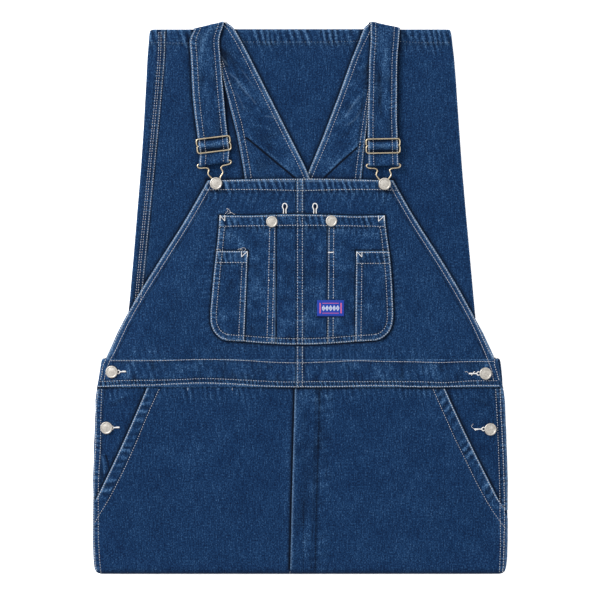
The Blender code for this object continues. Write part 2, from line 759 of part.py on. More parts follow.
def build_narrow_pocket(side):
    sign = sign_of(side)
    rows = NARROW_ROWS
    top_x, bottom_x = NARROW_POCKETS[side]

    def place(i, j):
        y = rows[j]
        share = (rows[0] - y) / (rows[0] - rows[-1])
        inner = top_x + share * (bottom_x - top_x)
        outer = POCKET.at(column_of(side), y) - sign * 0.5
        xs = (outer, inner) if side == "l" else (inner, outer)
        return xs[i], y, on_pocket_z(y)

    sheet(f"bib_narrow_pocket_{side}", denim, 2, len(rows), place,
          lambda x, y, z: HEM if y > NARROW_HEM_Y else CLOTH)


def build_label():
    def place(i, j):
        y = LABEL_Y[1 - j]
        return LABEL_X[i], y, on_pocket_z(y)

    sheet("label", label_blue, 2, 2, place, lambda x, y, z: LABEL_WALL)


# ---------------------------------------------------------------- back bib and straps

def cut_line(start, end, inwards):
    """A cut along a slanted line in plan, moved in by a distance: the cloth above it goes."""
    start = Vector(start)
    end = Vector(end)
    along = (end - start).normalized()
    outwards = Vector((-along.y, along.x))
    point = start - outwards * inwards
    return (point.x, point.y, 0.0), (outwards.x, outwards.y, 0.0), True


def build_back_bib(side):
    """One back piece, inside face up: its V edge is hemmed and the left one laps the right."""
    table = BACK_BIB_L if side == "l" else BACK_BIB_R
    rows = sorted((row[0] for row in table.rows), reverse=True)
    edge = -BACK_EDGE if side == "l" else BACK_EDGE
    columns = 5

    def raised(x, y):
        if side == "r" or y > 300.0:
            return BACK_HEIGHT.at("z", y)
        across = min(1.0, max(0.0, (x + 46.0) / 26.0))
        down = min(1.0, max(0.0, (225.0 - y) / 39.0))
        return BACK_BIB_Z + BACK_LAP * min(across, down)

    def place(i, j):
        k = i if side == "l" else columns - 1 - i
        y = rows[j]
        outer = table.at("outer", y)
        inner = table.at("inner", y)
        hem = inner + edge
        xs = (outer, outer + 0.5 * (hem - outer), hem + edge * 0.05, hem, inner)
        return xs[k], y, raised(xs[k], y)

    def wall(x, y, z):
        return CLOTH

    fold = STRAP_FOLDS[side]
    corner = BACK_CORNERS[side]
    cuts = (cut_line(*fold, BACK_FOLD_CUT), cut_line(*corner, 0.0))
    sheet(f"back_bib_{side}", denim_worn, columns, len(rows), place, wall, cuts)


def slider_frame(side):
    x, y, degrees = SLIDERS[side]
    turn = math.radians(degrees)
    across = Vector((math.cos(turn), math.sin(turn)))
    return Vector((x, y)), across, Vector((-across.y, across.x))


def clasp_frame(side):
    """The clasp's own origin and axes in plan: by the button, turned with the strap."""
    shift_x, shift_y, degrees = CLASPS[side]
    button = Vector(BIB_BUTTONS[side])
    turn = math.radians(degrees)
    across = Vector((math.cos(turn), math.sin(turn)))
    return button + Vector((shift_x, shift_y)), across, Vector((-across.y, across.x))


def build_strap(side):
    """A strap: from the back piece over the shoulder fold, down through the slider and round
    the clasp's bar."""
    rows = []
    left_end, right_end = (Vector(point) for point in STRAP_FOLDS[side])
    along = (right_end - left_end).normalized()
    outwards = Vector((-along.y, along.x))
    back = STRAP_FOLD_R + STRAP_WALL / 2
    back_z = BACK_TOP_Z + CLOTH / 2
    for angle in (180.0, 144.0, 108.0, 72.0, 36.0, 0.0):
        turn = math.radians(angle)
        shift = outwards * (STRAP_FOLD_R * math.sin(turn) - back)
        z = back_z + STRAP_FOLD_R + STRAP_FOLD_R * math.cos(turn)
        rows.append((left_end + shift, right_end + shift, z))
    for left_x, left_y, right_x, right_y, z in STRAP_ROWS[side]:
        rows.append((Vector((left_x, left_y)), Vector((right_x, right_y)), z))
    centre, across, up = slider_frame(side)
    for share in (0.0, 0.15, 0.3, 0.42, 0.5, 0.58, 0.7, 0.85, 1.0):
        middle = centre + up * (0.5 - share) * SLIDER_SPAN
        z = SLIDER_Z - SLIDER_WAVE * math.cos(2.0 * math.pi * share)
        rows.append((middle - across * STRAP_HALF, middle + across * STRAP_HALF, z))
    origin, across, up = clasp_frame(side)
    loop_r = CLASP_WIRE + GAP + STRAP_WALL / 2
    bar = origin + up * CLASP_BAR_Y
    for angle in (0.0, 45.0, 90.0, 135.0, 180.0):
        turn = math.radians(angle)
        middle = bar - up * loop_r * math.sin(turn)
        z = STRAP_END_Z + loop_r * math.cos(turn)
        rows.append((middle - across * STRAP_HALF, middle + across * STRAP_HALF, z))
    tail = bar + up * LOOP_TAIL
    rows.append((tail - across * STRAP_HALF, tail + across * STRAP_HALF, STRAP_END_Z - loop_r))

    def place(i, j):
        left, right, z = rows[j]
        point = left.lerp(right, i / (STRAP_COLUMNS - 1))
        return point.x, point.y, z

    sheet(f"strap_{side}", denim_worn, STRAP_COLUMNS, len(rows), place,
          lambda x, y, z: STRAP_WALL, centred=True)


# ---------------------------------------------------------------- wire and buttons

def wire(name, points, radius, material):
    """A closed loop of round wire."""
    curve = bpy.data.curves.new(name, "CURVE")
    curve.dimensions = "3D"
    curve.bevel_depth = radius * MM
    curve.bevel_resolution = 2
    curve.use_fill_caps = True
    spline = curve.splines.new("POLY")
    spline.points.add(len(points) - 1)
    for slot, point in zip(spline.points, points):
        slot.co = (*(Vector(point) * MM), 1.0)
    spline.use_cyclic_u = True
    curve.materials.append(material)
    obj = bpy.data.objects.new(name, curve)
    garment.objects.link(obj)
    return obj


def as_mesh(obj):
    """A mesh object in place of a curve, with its material."""
    depsgraph = bpy.context.evaluated_depsgraph_get()
    mesh = bpy.data.meshes.new_from_object(obj.evaluated_get(depsgraph))
    bm = bmesh.new()
    bm.from_mesh(mesh)
    bmesh.ops.remove_doubles(bm, verts=bm.verts, dist=1e-6)
    bm.to_mesh(mesh)
    bm.free()
    name = obj.name
    replacement = bpy.data.objects.new(name, mesh)
    replacement.matrix_world = obj.matrix_world.copy()
    bpy.data.objects.remove(obj)
    replacement.name = name
    garment.objects.link(replacement)
    return replacement


def build_slider(side):
    """A wire frame, pinched where the bar that the strap runs over is held."""
    centre, across, up = slider_frame(side)
    half_w = SLIDER_HALF
    half_h = SLIDER_SPAN / 2
    corner = SLIDER_CORNER
    quarter = []
    for step in range(5):
        turn = math.radians(90.0 - 22.5 * step)
        quarter.append((half_w - corner + corner * math.cos(turn),
                        half_h - corner + corner * math.sin(turn)))
    quarter += [(half_w, 3.2), (half_w - SLIDER_PINCH * 0.6, 1.2)]
    right = quarter + [(half_w - SLIDER_PINCH, 0.0)] + [(x, -y) for x, y in reversed(quarter)]
    outline = right + [(-x, y) for x, y in reversed(right)]
    points = []
    for x, y in outline:
        place = centre + across * x + up * y
        points.append((place.x, place.y, SLIDER_Z))
    frame = as_mesh(wire(f"slider_{side}", points, SLIDER_WIRE, brass))

    bm = bmesh.new()
    bmesh.ops.create_cone(bm, cap_ends=True, segments=10, radius1=SLIDER_BAR * MM,
                          radius2=SLIDER_BAR * MM, depth=2.0 * (half_w - SLIDER_PINCH) * MM)
    turn = Matrix.Rotation(math.radians(SLIDERS[side][2]), 4, "Z")
    lie = turn @ Matrix.Rotation(math.radians(90.0), 4, "Y")
    shift = Matrix.Translation(Vector((centre.x, centre.y, SLIDER_Z)) * MM)
    bmesh.ops.transform(bm, matrix=shift @ lie, verts=bm.verts)
    mesh = bpy.data.meshes.new(f"slider_bar_{side}")
    bm.to_mesh(mesh)
    bm.free()
    bar = bpy.data.objects.new(f"slider_bar_{side}", mesh)
    cutters.objects.link(bar)
    bar.hide_render = True
    bar.display_type = "WIRE"
    union = frame.modifiers.new("Bar", "BOOLEAN")
    union.operation = "UNION"
    union.object = bar


def build_clasp(side):
    """A clasp of bent wire: a bar in the strap's loop, shoulders, and a keyhole round the
    button's neck."""
    origin, across, up = clasp_frame(side)
    loop = []
    for step in range(1, 10):
        turn = math.radians(-18.0 * step)
        loop.append((CLASP_LOOP * math.cos(turn), CLASP_LOOP * math.sin(turn)))
    outline = list(CLASP_HALF) + loop + [(-x, y) for x, y in reversed(CLASP_HALF)]
    heights = Table(("y", "z"), [(8.0, CLASP_Z), (22.0, STRAP_END_Z + 0.6), (26.0, STRAP_END_Z)])
    points = []
    for x, y in outline:
        place = origin + across * x + up * y
        points.append((place.x, place.y, heights.at("z", y)))
    wire(f"clasp_{side}", points, CLASP_WIRE, brass)


def button(name, place, radius, neck, seat_z, normal=(0.0, 0.0, 1.0)):
    """A tack button: a short neck and a dished cap with a rounded rim, turned on its axis."""
    profile = ((0.0, 0.0), (BUTTON_NECK_R, 0.0), (BUTTON_NECK_R, neck), (radius - 0.8, neck),
               (radius, neck + 0.9), (radius - 0.7, neck + 2.0), (radius - 2.2, neck + 2.1),
               (radius - 3.0, neck + 1.7), (0.0, neck + 2.0))
    bm = bmesh.new()
    verts = [bm.verts.new(Vector((r, 0.0, z)) * MM) for r, z in profile]
    for low, high in zip(verts, verts[1:]):
        bm.edges.new((low, high))
    obj = add_mesh(name, bm, nickel)
    screw = obj.modifiers.new("Turn", "SCREW")
    screw.axis = "Z"
    screw.steps = BUTTON_SIDES
    screw.render_steps = BUTTON_SIDES
    screw.use_merge_vertices = True
    screw.merge_threshold = 0.00005
    screw.use_normal_calculate = True
    facing = Vector(normal).normalized()
    obj.rotation_mode = "QUATERNION"
    obj.rotation_quaternion = Vector((0.0, 0.0, 1.0)).rotation_difference(facing)
    seat = Vector((place[0], place[1], seat_z)) + facing * GAP
    obj.location = seat * MM
    return obj


def body_normal(x, y):
    slope = (body_z(x + 3.0, y) - body_z(x - 3.0, y)) / 6.0
    return -slope, 0.0, 1.0


def build_buttons(side):
    x, y = BIB_BUTTONS[side]
    seat = max(bib_z(x - 3.0, y), bib_z(x + 3.0, y)) + HEM
    button(f"bib_button_{side}", (x, y), BUTTON_R, BIB_BUTTON_NECK, seat)
    x, y = POCKET_BUTTONS[side]
    button(f"pocket_button_{side}", (x, y), POCKET_BUTTON_R, FLAT_NECK, pocket_z(x, y) + HEM)
    x, y = WAIST_BUTTONS[side]
    seat = body_z(x, y) + CLOTH + GAP + WAISTBAND
    button(f"waist_button_{side}", (x, y), BUTTON_R, FLAT_NECK, seat, body_normal(x, y))
    x, y = HIP_BUTTONS[side]
    seat = body_z(x, y) + FACING
    button(f"hip_button_{side}", (x, y), BUTTON_R, FLAT_NECK, seat, body_normal(x, y))


# ---------------------------------------------------------------- the garment

for old in list(bpy.data.objects):
    bpy.data.objects.remove(old)
garment = bpy.data.collections.new("dungarees")
cutters = bpy.data.collections.new("cutters")
bpy.context.scene.collection.children.link(garment)
bpy.context.scene.collection.children.link(cutters)

denim = make_material("denim", DENIM, 0.85)
denim_worn = make_material("denim_worn", DENIM_WORN, 0.85)
denim_dark = make_material("denim_dark", DENIM_DARK, 0.9)
brass = make_material("brass", BRASS, 0.3, 1.0)
nickel = make_material("nickel", NICKEL, 0.35, 1.0)
label_blue = make_material("label_blue", LABEL_BLUE, 0.7)

build_hidden_layers()
build_upper_leg()
build_lower_leg()
for half in "lr":
    build_back_bib(half)
    build_front(half)
    build_back_extension(half)
    build_bib(half)
    build_waistband(half)
    build_strap(half)
    build_slider(half)
    build_clasp(half)
build_bib_pocket()
for half in "lr":
    build_narrow_pocket(half)
    build_buttons(half)
build_label()
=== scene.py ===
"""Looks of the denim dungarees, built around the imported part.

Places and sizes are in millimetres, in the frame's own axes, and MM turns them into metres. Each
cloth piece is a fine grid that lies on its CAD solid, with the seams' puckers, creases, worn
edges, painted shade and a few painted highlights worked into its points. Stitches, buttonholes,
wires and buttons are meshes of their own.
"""

import math
from dataclasses import dataclass

import bmesh
import bpy
import numpy as np
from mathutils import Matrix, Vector
from mathutils.bvhtree import BVHTree


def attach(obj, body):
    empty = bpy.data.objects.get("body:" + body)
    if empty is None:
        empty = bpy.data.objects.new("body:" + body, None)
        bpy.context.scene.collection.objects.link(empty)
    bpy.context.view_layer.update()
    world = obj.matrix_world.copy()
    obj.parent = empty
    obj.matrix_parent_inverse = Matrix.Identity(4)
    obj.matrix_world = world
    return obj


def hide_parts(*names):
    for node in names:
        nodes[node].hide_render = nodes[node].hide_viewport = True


MM = 0.001
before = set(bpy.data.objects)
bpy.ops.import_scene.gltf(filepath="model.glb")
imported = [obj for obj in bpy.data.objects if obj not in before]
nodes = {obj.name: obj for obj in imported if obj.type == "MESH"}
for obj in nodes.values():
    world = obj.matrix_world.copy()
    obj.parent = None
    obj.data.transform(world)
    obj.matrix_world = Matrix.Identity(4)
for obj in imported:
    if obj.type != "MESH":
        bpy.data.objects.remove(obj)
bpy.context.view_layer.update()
WORDS = {"l": "left", "r": "right"}
SIGN = {"l": -1.0, "r": 1.0}      # where x grows outwards


# ---------------------------------------------------------------- tables and noise

class Table:
    """Rows with named columns, read between two rows along a straight line."""

    def __init__(self, names, rows):
        rows = sorted(rows)
        self.key = np.array([row[0] for row in rows])
        self.columns = {n: np.array([row[k] for row in rows]) for k, n in enumerate(names)}

    def at(self, name, key):
        return np.interp(key, self.key, self.columns[name])

    def line(self, name, ys):
        """The column's value at each y, as points in plan."""
        return [(float(self.at(name, y)), y) for y in ys]


LEGS = Table(("y", "l", "r"), [
    (372.6, -204.2, 206.4), (372.25, -205.6, 207.3), (371.7, -206.7, 207.9), (370.8, -207.6, 208.5),
    (368, -208.4, 209.1), (364, -208.9, 209.8), (334, -211.4, 213.4),
    (304, -212.9, 215.9), (243, -216.3, 220), (182, -220.4, 224.4),
    (121, -225.5, 229.7), (61, -230.4, 235.2), (0, -235.8, 240.7), (-27, -238.6, 243.2)])
BIB = Table(("y", "l", "r"), [
    (163.5, -127.4, 128.9), (128, -147.6, 148.8), (96, -166.4, 168.2), (62, -188.4, 190.6),
    (32, -207.3, 209.2), (12.4, -219.5, 220.6), (-4.3, -229.3, 229.6), (-18, -236.9, 237.2),
    (-30, -243.8, 243.6), (-48.3, -253, 253.4), (-71, -263, 263.8), (-81, -267.6, 268.2),
    (-102, -268, 268)])
BODY = Table(("y", "l", "r"), [
    (-81, -272.3, 272.5), (-112, -277.7, 277.3), (-121, -279.6, 278.6),
    (-127, -281.2, 281.4), (-141, -282.9, 283.3), (-168, -282.5, 284.3),
    (-196, -283.5, 285.2), (-223, -285, 286.3), (-251, -286.3, 287.1),
    (-279, -285.4, 286.9), (-306, -285.9, 286.8), (-334, -286.1, 286.6),
    (-356, -285.2, 286), (-364, -284.7, 285.3), (-369, -284, 284.7),
    (-373, -283.2, 283.8), (-377, -281.7, 282.4), (-379, -279.4, 280),
    (-380.8, -275, 275.6)])
POCKET = Table(("y", "l", "r"), [
    (115, -111.1, 116.9), (81, -113.7, 121), (65.5, -115.6, 123.4), (47.5, -117.7, 125.4),
    (25, -120, 127.2), (-20, -123.8, 129), (-28, -123.9, 128.8), (-36, -122.9, 127.6),
    (-43, -120.4, 125), (-48.5, -117, 121.4), (-53, -112.4, 116.6), (-56, -107.6, 111.6),
    (-57.6, -102.5, 106)])
PUFF = Table(("x", "rise"), [
    (-125, 0), (-111, -0.2), (-72, -0.4), (-20, 1.2), (2, 1.4), (30, 0.9),
    (77, -1), (100, -0.5), (125, 0.1)])
FLY = Table(("y", "x"), [(-101, -6.9), (-122, -7.2), (-191, -9.1), (-297, -11.9),
                         (-379, -13.8)])
BACK_BIB = {
    "l": Table(("y", "outer", "inner"), [
        (384, -146, -98.6), (378, -146, -95.4), (372, -144.6, -90),
        (350, -124.6, -77.6), (334.7, -111.5, -69.6), (315, -109, -59.8),
        (296, -105, -50.2), (281, -100.9, -42.6),
        (225, -87, -14.3), (186, -79.4, 5.4), (166, -76.4, 14.2), (136.3, -72.2, 23.5)]),
    "r": Table(("y", "outer", "inner"), [
        (384, 138, 93.4), (372, 136.6, 87.6), (350, 120, 79.2), (333.5, 107.4, 72.4),
        (315, 103.4, 65.7), (295, 99.4, 58.6), (277, 96.2, 52), (220, 90.8, 30.4),
        (188, 87.4, 17), (166, 85.2, 8), (136.3, 80.4, -4.6)])}

UPPER_LEG_EDGE = 126.0
LEG_TOP = 372.6
BIB_TOP = 163.5
FOLD_Y = -372.0
NOSE = 8.8                # reach of the bottom fold
UNDER_END = -347.0
WAIST = (-83.5, -122.5)
SLANT = {"l": ((-210.7, -122), (-281.4, -276.7)), "r": ((198.9, -122), (275, -279))}
POCKET_FOLDS = (-33.2, 37.8)
SLANT_END = -283.0        # below both pocket edges
NARROW = {"l": (-71.8, -76.6), "r": (77.3, 75.9)}
NARROW_Y = (65.6, -56)
LABEL = (23.4, 61, -24.6, -2.2)         # left, right, bottom and top
BIB_BUTTONS = {"l": (-115.8, 158.6), "r": (116.8, 158)}


def ease(f):
    return f * f * (3.0 - 2.0 * f)


def wander(t, pitch, seed):
    """Smooth random values from -1 to 1 along t, a new one every pitch."""
    values = np.random.default_rng(seed).uniform(-1, 1, 997)
    k = np.floor(t / pitch).astype(int)
    f = ease(t / pitch - k)
    return values[k % 997] * (1.0 - f) + values[(k + 1) % 997] * f


def field(x, y, pitch, seed):
    """Smooth random values from -1 to 1 over the plan."""
    values = np.random.default_rng(seed).uniform(-1.0, 1.0, (61, 61))
    i, j = np.floor(x / pitch).astype(int), np.floor(y / pitch).astype(int)
    f, g = ease(x / pitch - i), ease(y / pitch - j)
    low, high = (values[i % 61, k % 61] * (1.0 - f) + values[(i + 1) % 61, k % 61] * f
                 for k in (j, j + 1))
    return low * (1.0 - g) + high * g


# ---------------------------------------------------------------- lines in plan

def across(y, reach=280.0):
    """A level line from one side to the other."""
    return [(-reach, y), (reach, y)]


def upright(x, top, bottom):
    return [(x, top), (x, bottom)]


def shifted(line, dx, dy=0.0):
    return [(x + dx, y + dy) for x, y in line]


def flipped(line, sign):
    """A line drawn for the right side, on either side."""
    return [(sign * x, y) for x, y in line]


def offset(line, distance):
    """A line moved sideways, positive to its left."""
    points = np.array(line, float)
    moved = []
    for k, point in enumerate(points):
        before = points[max(k - 1, 0)]
        after = points[min(k + 1, len(points) - 1)]
        along = (after - before) / np.hypot(*(after - before))
        moved.append((point[0] - along[1] * distance, point[1] + along[0] * distance))
    return moved


def measure(line, x, y):
    """How far along a line a place is, and how far off it, positive on its left."""
    points = np.array(line, float)
    best = np.full(x.shape, 1e9)
    along, off = np.zeros(x.shape), np.zeros(x.shape)
    start = 0.0
    for (ax, ay), (bx, by) in zip(points, points[1:]):
        length = math.hypot(bx - ax, by - ay)
        ux, uy = (bx - ax) / length, (by - ay) / length
        t = np.clip((x - ax) * ux + (y - ay) * uy, 0.0, length)
        d = np.hypot(x - ax - t * ux, y - ay - t * uy)
        near = d < best
        best = np.where(near, d, best)
        along = np.where(near, start + t, along)
        side = np.where(ux * (y - ay) - uy * (x - ax) >= 0.0, 1.0, -1.0)
        off = np.where(near, d * side, off)
        start += length
    return along, off


# ---------------------------------------------------------------- heights from the frame

DOWN = Vector((0, 0, -1))
ABOVE = 60.0              # a height over everything
trees = {}


def tree_of(names):
    """A search tree of CAD nodes, in millimetres."""
    verts, faces = [], []
    for name in names:
        mesh = nodes[name].data
        start = len(verts)
        verts += [v.co / MM for v in mesh.vertices]
        faces += [[start + k for k in p.vertices] for p in mesh.polygons]
    return BVHTree.FromPolygons(verts, faces)


def top_of(names, xs, ys):
    """Height of the top of some CAD nodes over a grid of places; gaps take the nearest value."""
    if names not in trees:
        trees[names] = tree_of(names)
    z = np.full(xs.shape, np.nan)
    for index in np.ndindex(xs.shape):
        hit = trees[names].ray_cast(Vector((xs[index], ys[index], ABOVE)), DOWN)[0]
        if hit is not None:
            z[index] = hit.z
    for grid in (z, z.T):
        for row in grid:
            known = np.flatnonzero(~np.isnan(row))
            if 1 < len(known) < len(row):
                row[:] = np.interp(np.arange(len(row)), known, row[known])
    return z


def soften(z, passes):
    """Blurs a grid of heights, its edges kept."""
    for _ in range(passes):
        wide = np.pad(z, 1, mode="edge")
        z = (wide[:-2, 1:-1] + 2.0 * wide[1:-1, 1:-1] + wide[2:, 1:-1]) / 4.0
        wide = np.pad(z, 1, mode="edge")
        z = (wide[1:-1, :-2] + 2.0 * wide[1:-1, 1:-1] + wide[1:-1, 2:]) / 4.0
    return z


# ---------------------------------------------------------------- relief of seams and creases
# Each kind adds to a grid's heights, to its wear, and to its painted shade and dark blots.

def in_band(band, x, y, reach):
    """Place along and off a band's line, and 1 inside the band, falling to 0 over reach."""
    t, d = measure(band.line, x, y)
    out = np.maximum(np.maximum(band.low - d, d - band.high), 0.0)
    return t, d, np.exp(-(out / reach) ** 2)


@dataclass
class Pucker:
    """Small folds across a sewn band, which lies from low to high off a line."""
    line: list
    low: float
    high: float
    height: float
    pitch: float
    seed: int
    slant: float = 0.3
    reach: float = 5.0
    wear: float = 0.55

    def add(self, x, y, dz, wear_and_highlight, painted_shade_and_blots):
        t, d, envelope = in_band(self, x, y, self.reach)
        phase = t / self.pitch + 0.45 * wander(t, 2.6 * self.pitch, self.seed)
        phase += self.slant * d / self.pitch + 0.12 * wander(d * 3.0 + t, 5.0, self.seed + 5)
        wave = np.sin(2.0 * math.pi * phase)
        size = 0.58 + 0.40 * wander(t, 1.9 * self.pitch, self.seed + 1)
        size += 0.40 * field(x, y, 1.1 * self.pitch, self.seed + 2)
        size = envelope * np.clip(size, 0.0, 1.4)
        dz += 1.7 * self.height * size * wave
        wear_and_highlight += 1.9 * self.wear * size * np.maximum(wave, 0.0) ** 1.25
        # The ridges are paler with wear; the valleys get painted shade.
        painted_shade_and_blots += 1.5 * self.wear * size * np.maximum(-wave, 0.0) ** 1.25


@dataclass
class Mottle:
    """Washed, blotchy cloth in a band from low to high off a line."""
    line: list
    low: float
    high: float
    size: float
    stretch: float
    seed: int
    wear: float = 0.4
    shade: float = 0.4
    lift: float = 0.2

    def add(self, x, y, dz, wear_and_highlight, painted_shade_and_blots):
        t, d, envelope = in_band(self, x, y, 2.5)
        blot = field(d * self.stretch + 500.0, t + 300.0, self.size, self.seed)
        blot += 0.6 * field(d * self.stretch + 90.0, t, 0.45 * self.size, self.seed + 1)
        dz += self.lift * envelope * blot
        wear_and_highlight += self.wear * envelope * np.maximum(blot, 0.0) ** 1.3
        painted_shade_and_blots += self.shade * envelope * np.maximum(-blot, 0.0) ** 1.3


@dataclass
class Crease:
    """A soft ridge or trough along a line, fading at its ends."""
    line: list
    width: float
    height: float
    wear: float = 0.0

    def add(self, x, y, dz, wear_and_highlight, painted_shade_and_blots):
        t, d = measure(self.line, x, y)
        length = sum(math.dist(a, b) for a, b in zip(self.line, self.line[1:]))
        ends = np.clip(np.minimum(t, length - t) / (0.35 * length), 0.0, 1.0)
        shape = np.exp(-(d / self.width) ** 2) * ease(ends)
        dz += self.height * shape
        # A ridge is drawn paler; a trough gets painted shade.
        mark = wear_and_highlight if self.height > 0.0 else painted_shade_and_blots
        mark += self.wear * shape


@dataclass
class Shade:
    """Painted shade along an edge that lies on the cloth; a narrow one is a sharp painted shadow line.
    """
    line: list
    width: float = 2.2
    depth: float = 0.8
    patch = 12.0
    seed = 17

    @property
    def sharp(self):
        return "dark" if self.width < 2.0 else None

    def add(self, x, y, dz, wear_and_highlight, painted_shade_and_blots):
        if self.sharp is None:
            painted_shade_and_blots += self.depth * np.exp(-(measure(self.line, x, y)[1] / self.width) ** 2)


@dataclass
class Fade:
    """A worn, paler line or band."""
    line: list
    width: float = 2.0
    depth: float = 0.6
    patch: float = 12.0
    seed: int = 3

    def add(self, x, y, dz, wear_and_highlight, painted_shade_and_blots):
        t, d = measure(self.line, x, y)
        patch = 0.7 + 0.3 * wander(t, self.patch, self.seed)
        wear_and_highlight += self.depth * patch * np.exp(-(d / self.width) ** 2)


@dataclass
class Pale:
    """A sharp line of cloth rubbed white along a fold."""
    line: list
    width: float = 1.2
    depth: float = 0.7
    patch: float = 8.0
    seed: int = 3
    sharp = "pale"

    def add(self, x, y, dz, wear_and_highlight, painted_shade_and_blots):
        """Nothing here: the material draws it."""


def beside(kind, line, *rows, sign=1.0):
    """Marks of one kind along a line; each row starts with how far off the line it lies."""
    return [kind(offset(line, sign * off), *numbers) for off, *numbers in rows]


def relief_of(reliefs, x, y):
    """Heights, wear and shade that the reliefs give at each point."""
    sums = [np.zeros(x.shape) for _ in range(3)]
    for relief in reliefs:
        relief.add(x, y, *sums)
    return sums


def marks_of(reliefs, x, y, wear_and_highlight, painted_shade_and_blots):
    """What the denim's material reads at each point: wear with a few painted highlights, painted shade
    with dark blots, and for the sharp lines the signed distance to the nearest one, in its widths,
    with its strength."""
    marks = {"wear_and_highlight": np.clip(wear_and_highlight, 0.0, 1.0), "painted_shade_and_blots": np.clip(painted_shade_and_blots, 0.0, 1.0)}
    # dark: sharp painted shadow lines; pale: lines of cloth rubbed white.
    for kind, gain in (("dark", 1.35), ("pale", 1.0)):
        near, depth = np.full(x.shape, 9.0), np.zeros(x.shape)
        for relief in reliefs:
            if getattr(relief, "sharp", None) == kind:
                t, d = measure(relief.line, x, y)
                closer = np.abs(d / relief.width) < np.abs(near)
                near = np.where(closer, d / relief.width, near)
                patch = 0.78 + 0.22 * wander(t, relief.patch, relief.seed)
                shown = gain * relief.depth * patch * np.exp(-(d / 3.5) ** 2)
                depth = np.where(closer, shown, depth)
        marks[kind], marks[kind + "_depth"] = near, depth
    return marks


# ---------------------------------------------------------------- materials

class Nodes:
    """A new material, with short names for making its shader nodes."""

    def __init__(self, name, colour, roughness, metallic=0.0):
        self.material = bpy.data.materials.new(name)
        self.material.diffuse_color = (*colour, 1.0)
        self.material.use_nodes = True
        self.tree = self.material.node_tree
        self.surface(Base_Color=colour, Roughness=roughness, Metallic=metallic)

    def surface(self, **sockets):
        """Sets or links the shader's own sockets."""
        for name, value in sockets.items():
            self.put(self.tree.nodes["Principled BSDF"].inputs[name.replace("_", " ")], value)

    def put(self, socket, value):
        if isinstance(value, bpy.types.NodeSocket):
            self.tree.links.new(value, socket)
        elif isinstance(value, tuple) and socket.type == "RGBA":
            socket.default_value = (*value, 1.0)
        else:
            socket.default_value = value

    def make(self, kind, sockets=(), out=0, **settings):
        """A node with its settings and its sockets' values or links; gives one of its outputs."""
        node = self.tree.nodes.new("ShaderNode" + kind)
        for name, value in settings.items():
            setattr(node, name, value)
        for name, value in sockets:
            self.put(node.inputs[name], value)
        return node.outputs[out]

    def math(self, operation, *values, clamp=False):
        return self.make("Math", enumerate(values), operation=operation, use_clamp=clamp)

    def noise(self, vector, scale, detail=2.0, rough=0.5):
        return self.make("TexNoise", (("Scale", scale), ("Detail", detail), ("Roughness", rough),
                                      ("Vector", vector)), "Fac")

    def bands(self, vector, direction, scale, *more):
        return self.make("TexWave", (("Vector", vector), ("Scale", scale), *more), "Fac",
                         wave_type="BANDS", bands_direction=direction, wave_profile="SIN")

    def mapped(self, vector, scale, turn=0.0):
        return self.make("Mapping", (("Scale", scale), ("Rotation", (0.0, 0.0, turn)),
                                     ("Vector", vector)), "Vector")

    def spread(self, value, low, high, to_low, to_high):
        return self.make("MapRange", (("From Min", low), ("From Max", high), ("To Min", to_low),
                                      ("To Max", to_high), ("Value", value)), "Result", clamp=True)

    def mix(self, share, a, b):
        return self.make("Mix", ((0, share), (6, a), (7, b)), 2, data_type="RGBA")

    def ramp(self, value, stops):
        out = self.make("ValToRGB", (("Fac", value),), "Color")
        elements = out.node.color_ramp.elements
        for element, (place, colour) in zip(elements, (stops[0], stops[-1])):
            element.position, element.color = place, (*colour, 1.0)
        for place, colour in stops[1:-1]:
            elements.new(place).color = (*colour, 1.0)
        return out

    def attribute(self, name):
        return self.make("Attribute", out="Fac", attribute_name=name)

    def grain(self):
        return self.make("UVMap", out="UV", uv_map="grain")

    def place(self):
        return self.make("TexCoord", out="Object")

    def line(self, name):
        """How strongly a sharp line of one kind shows."""
        away = self.attribute(name)
        bell = self.math("MULTIPLY", self.math("MULTIPLY", away, away), -1.0)
        return self.math("MULTIPLY", self.math("EXPONENT", bell), self.attribute(name + "_depth"),
                         clamp=True)

    def bump(self, height, distance, strength=1.0, before=None):
        below = () if before is None else (("Normal", before),)
        return self.make("Bump", (("Strength", strength), ("Distance", distance),
                                  ("Height", height), *below), "Normal")


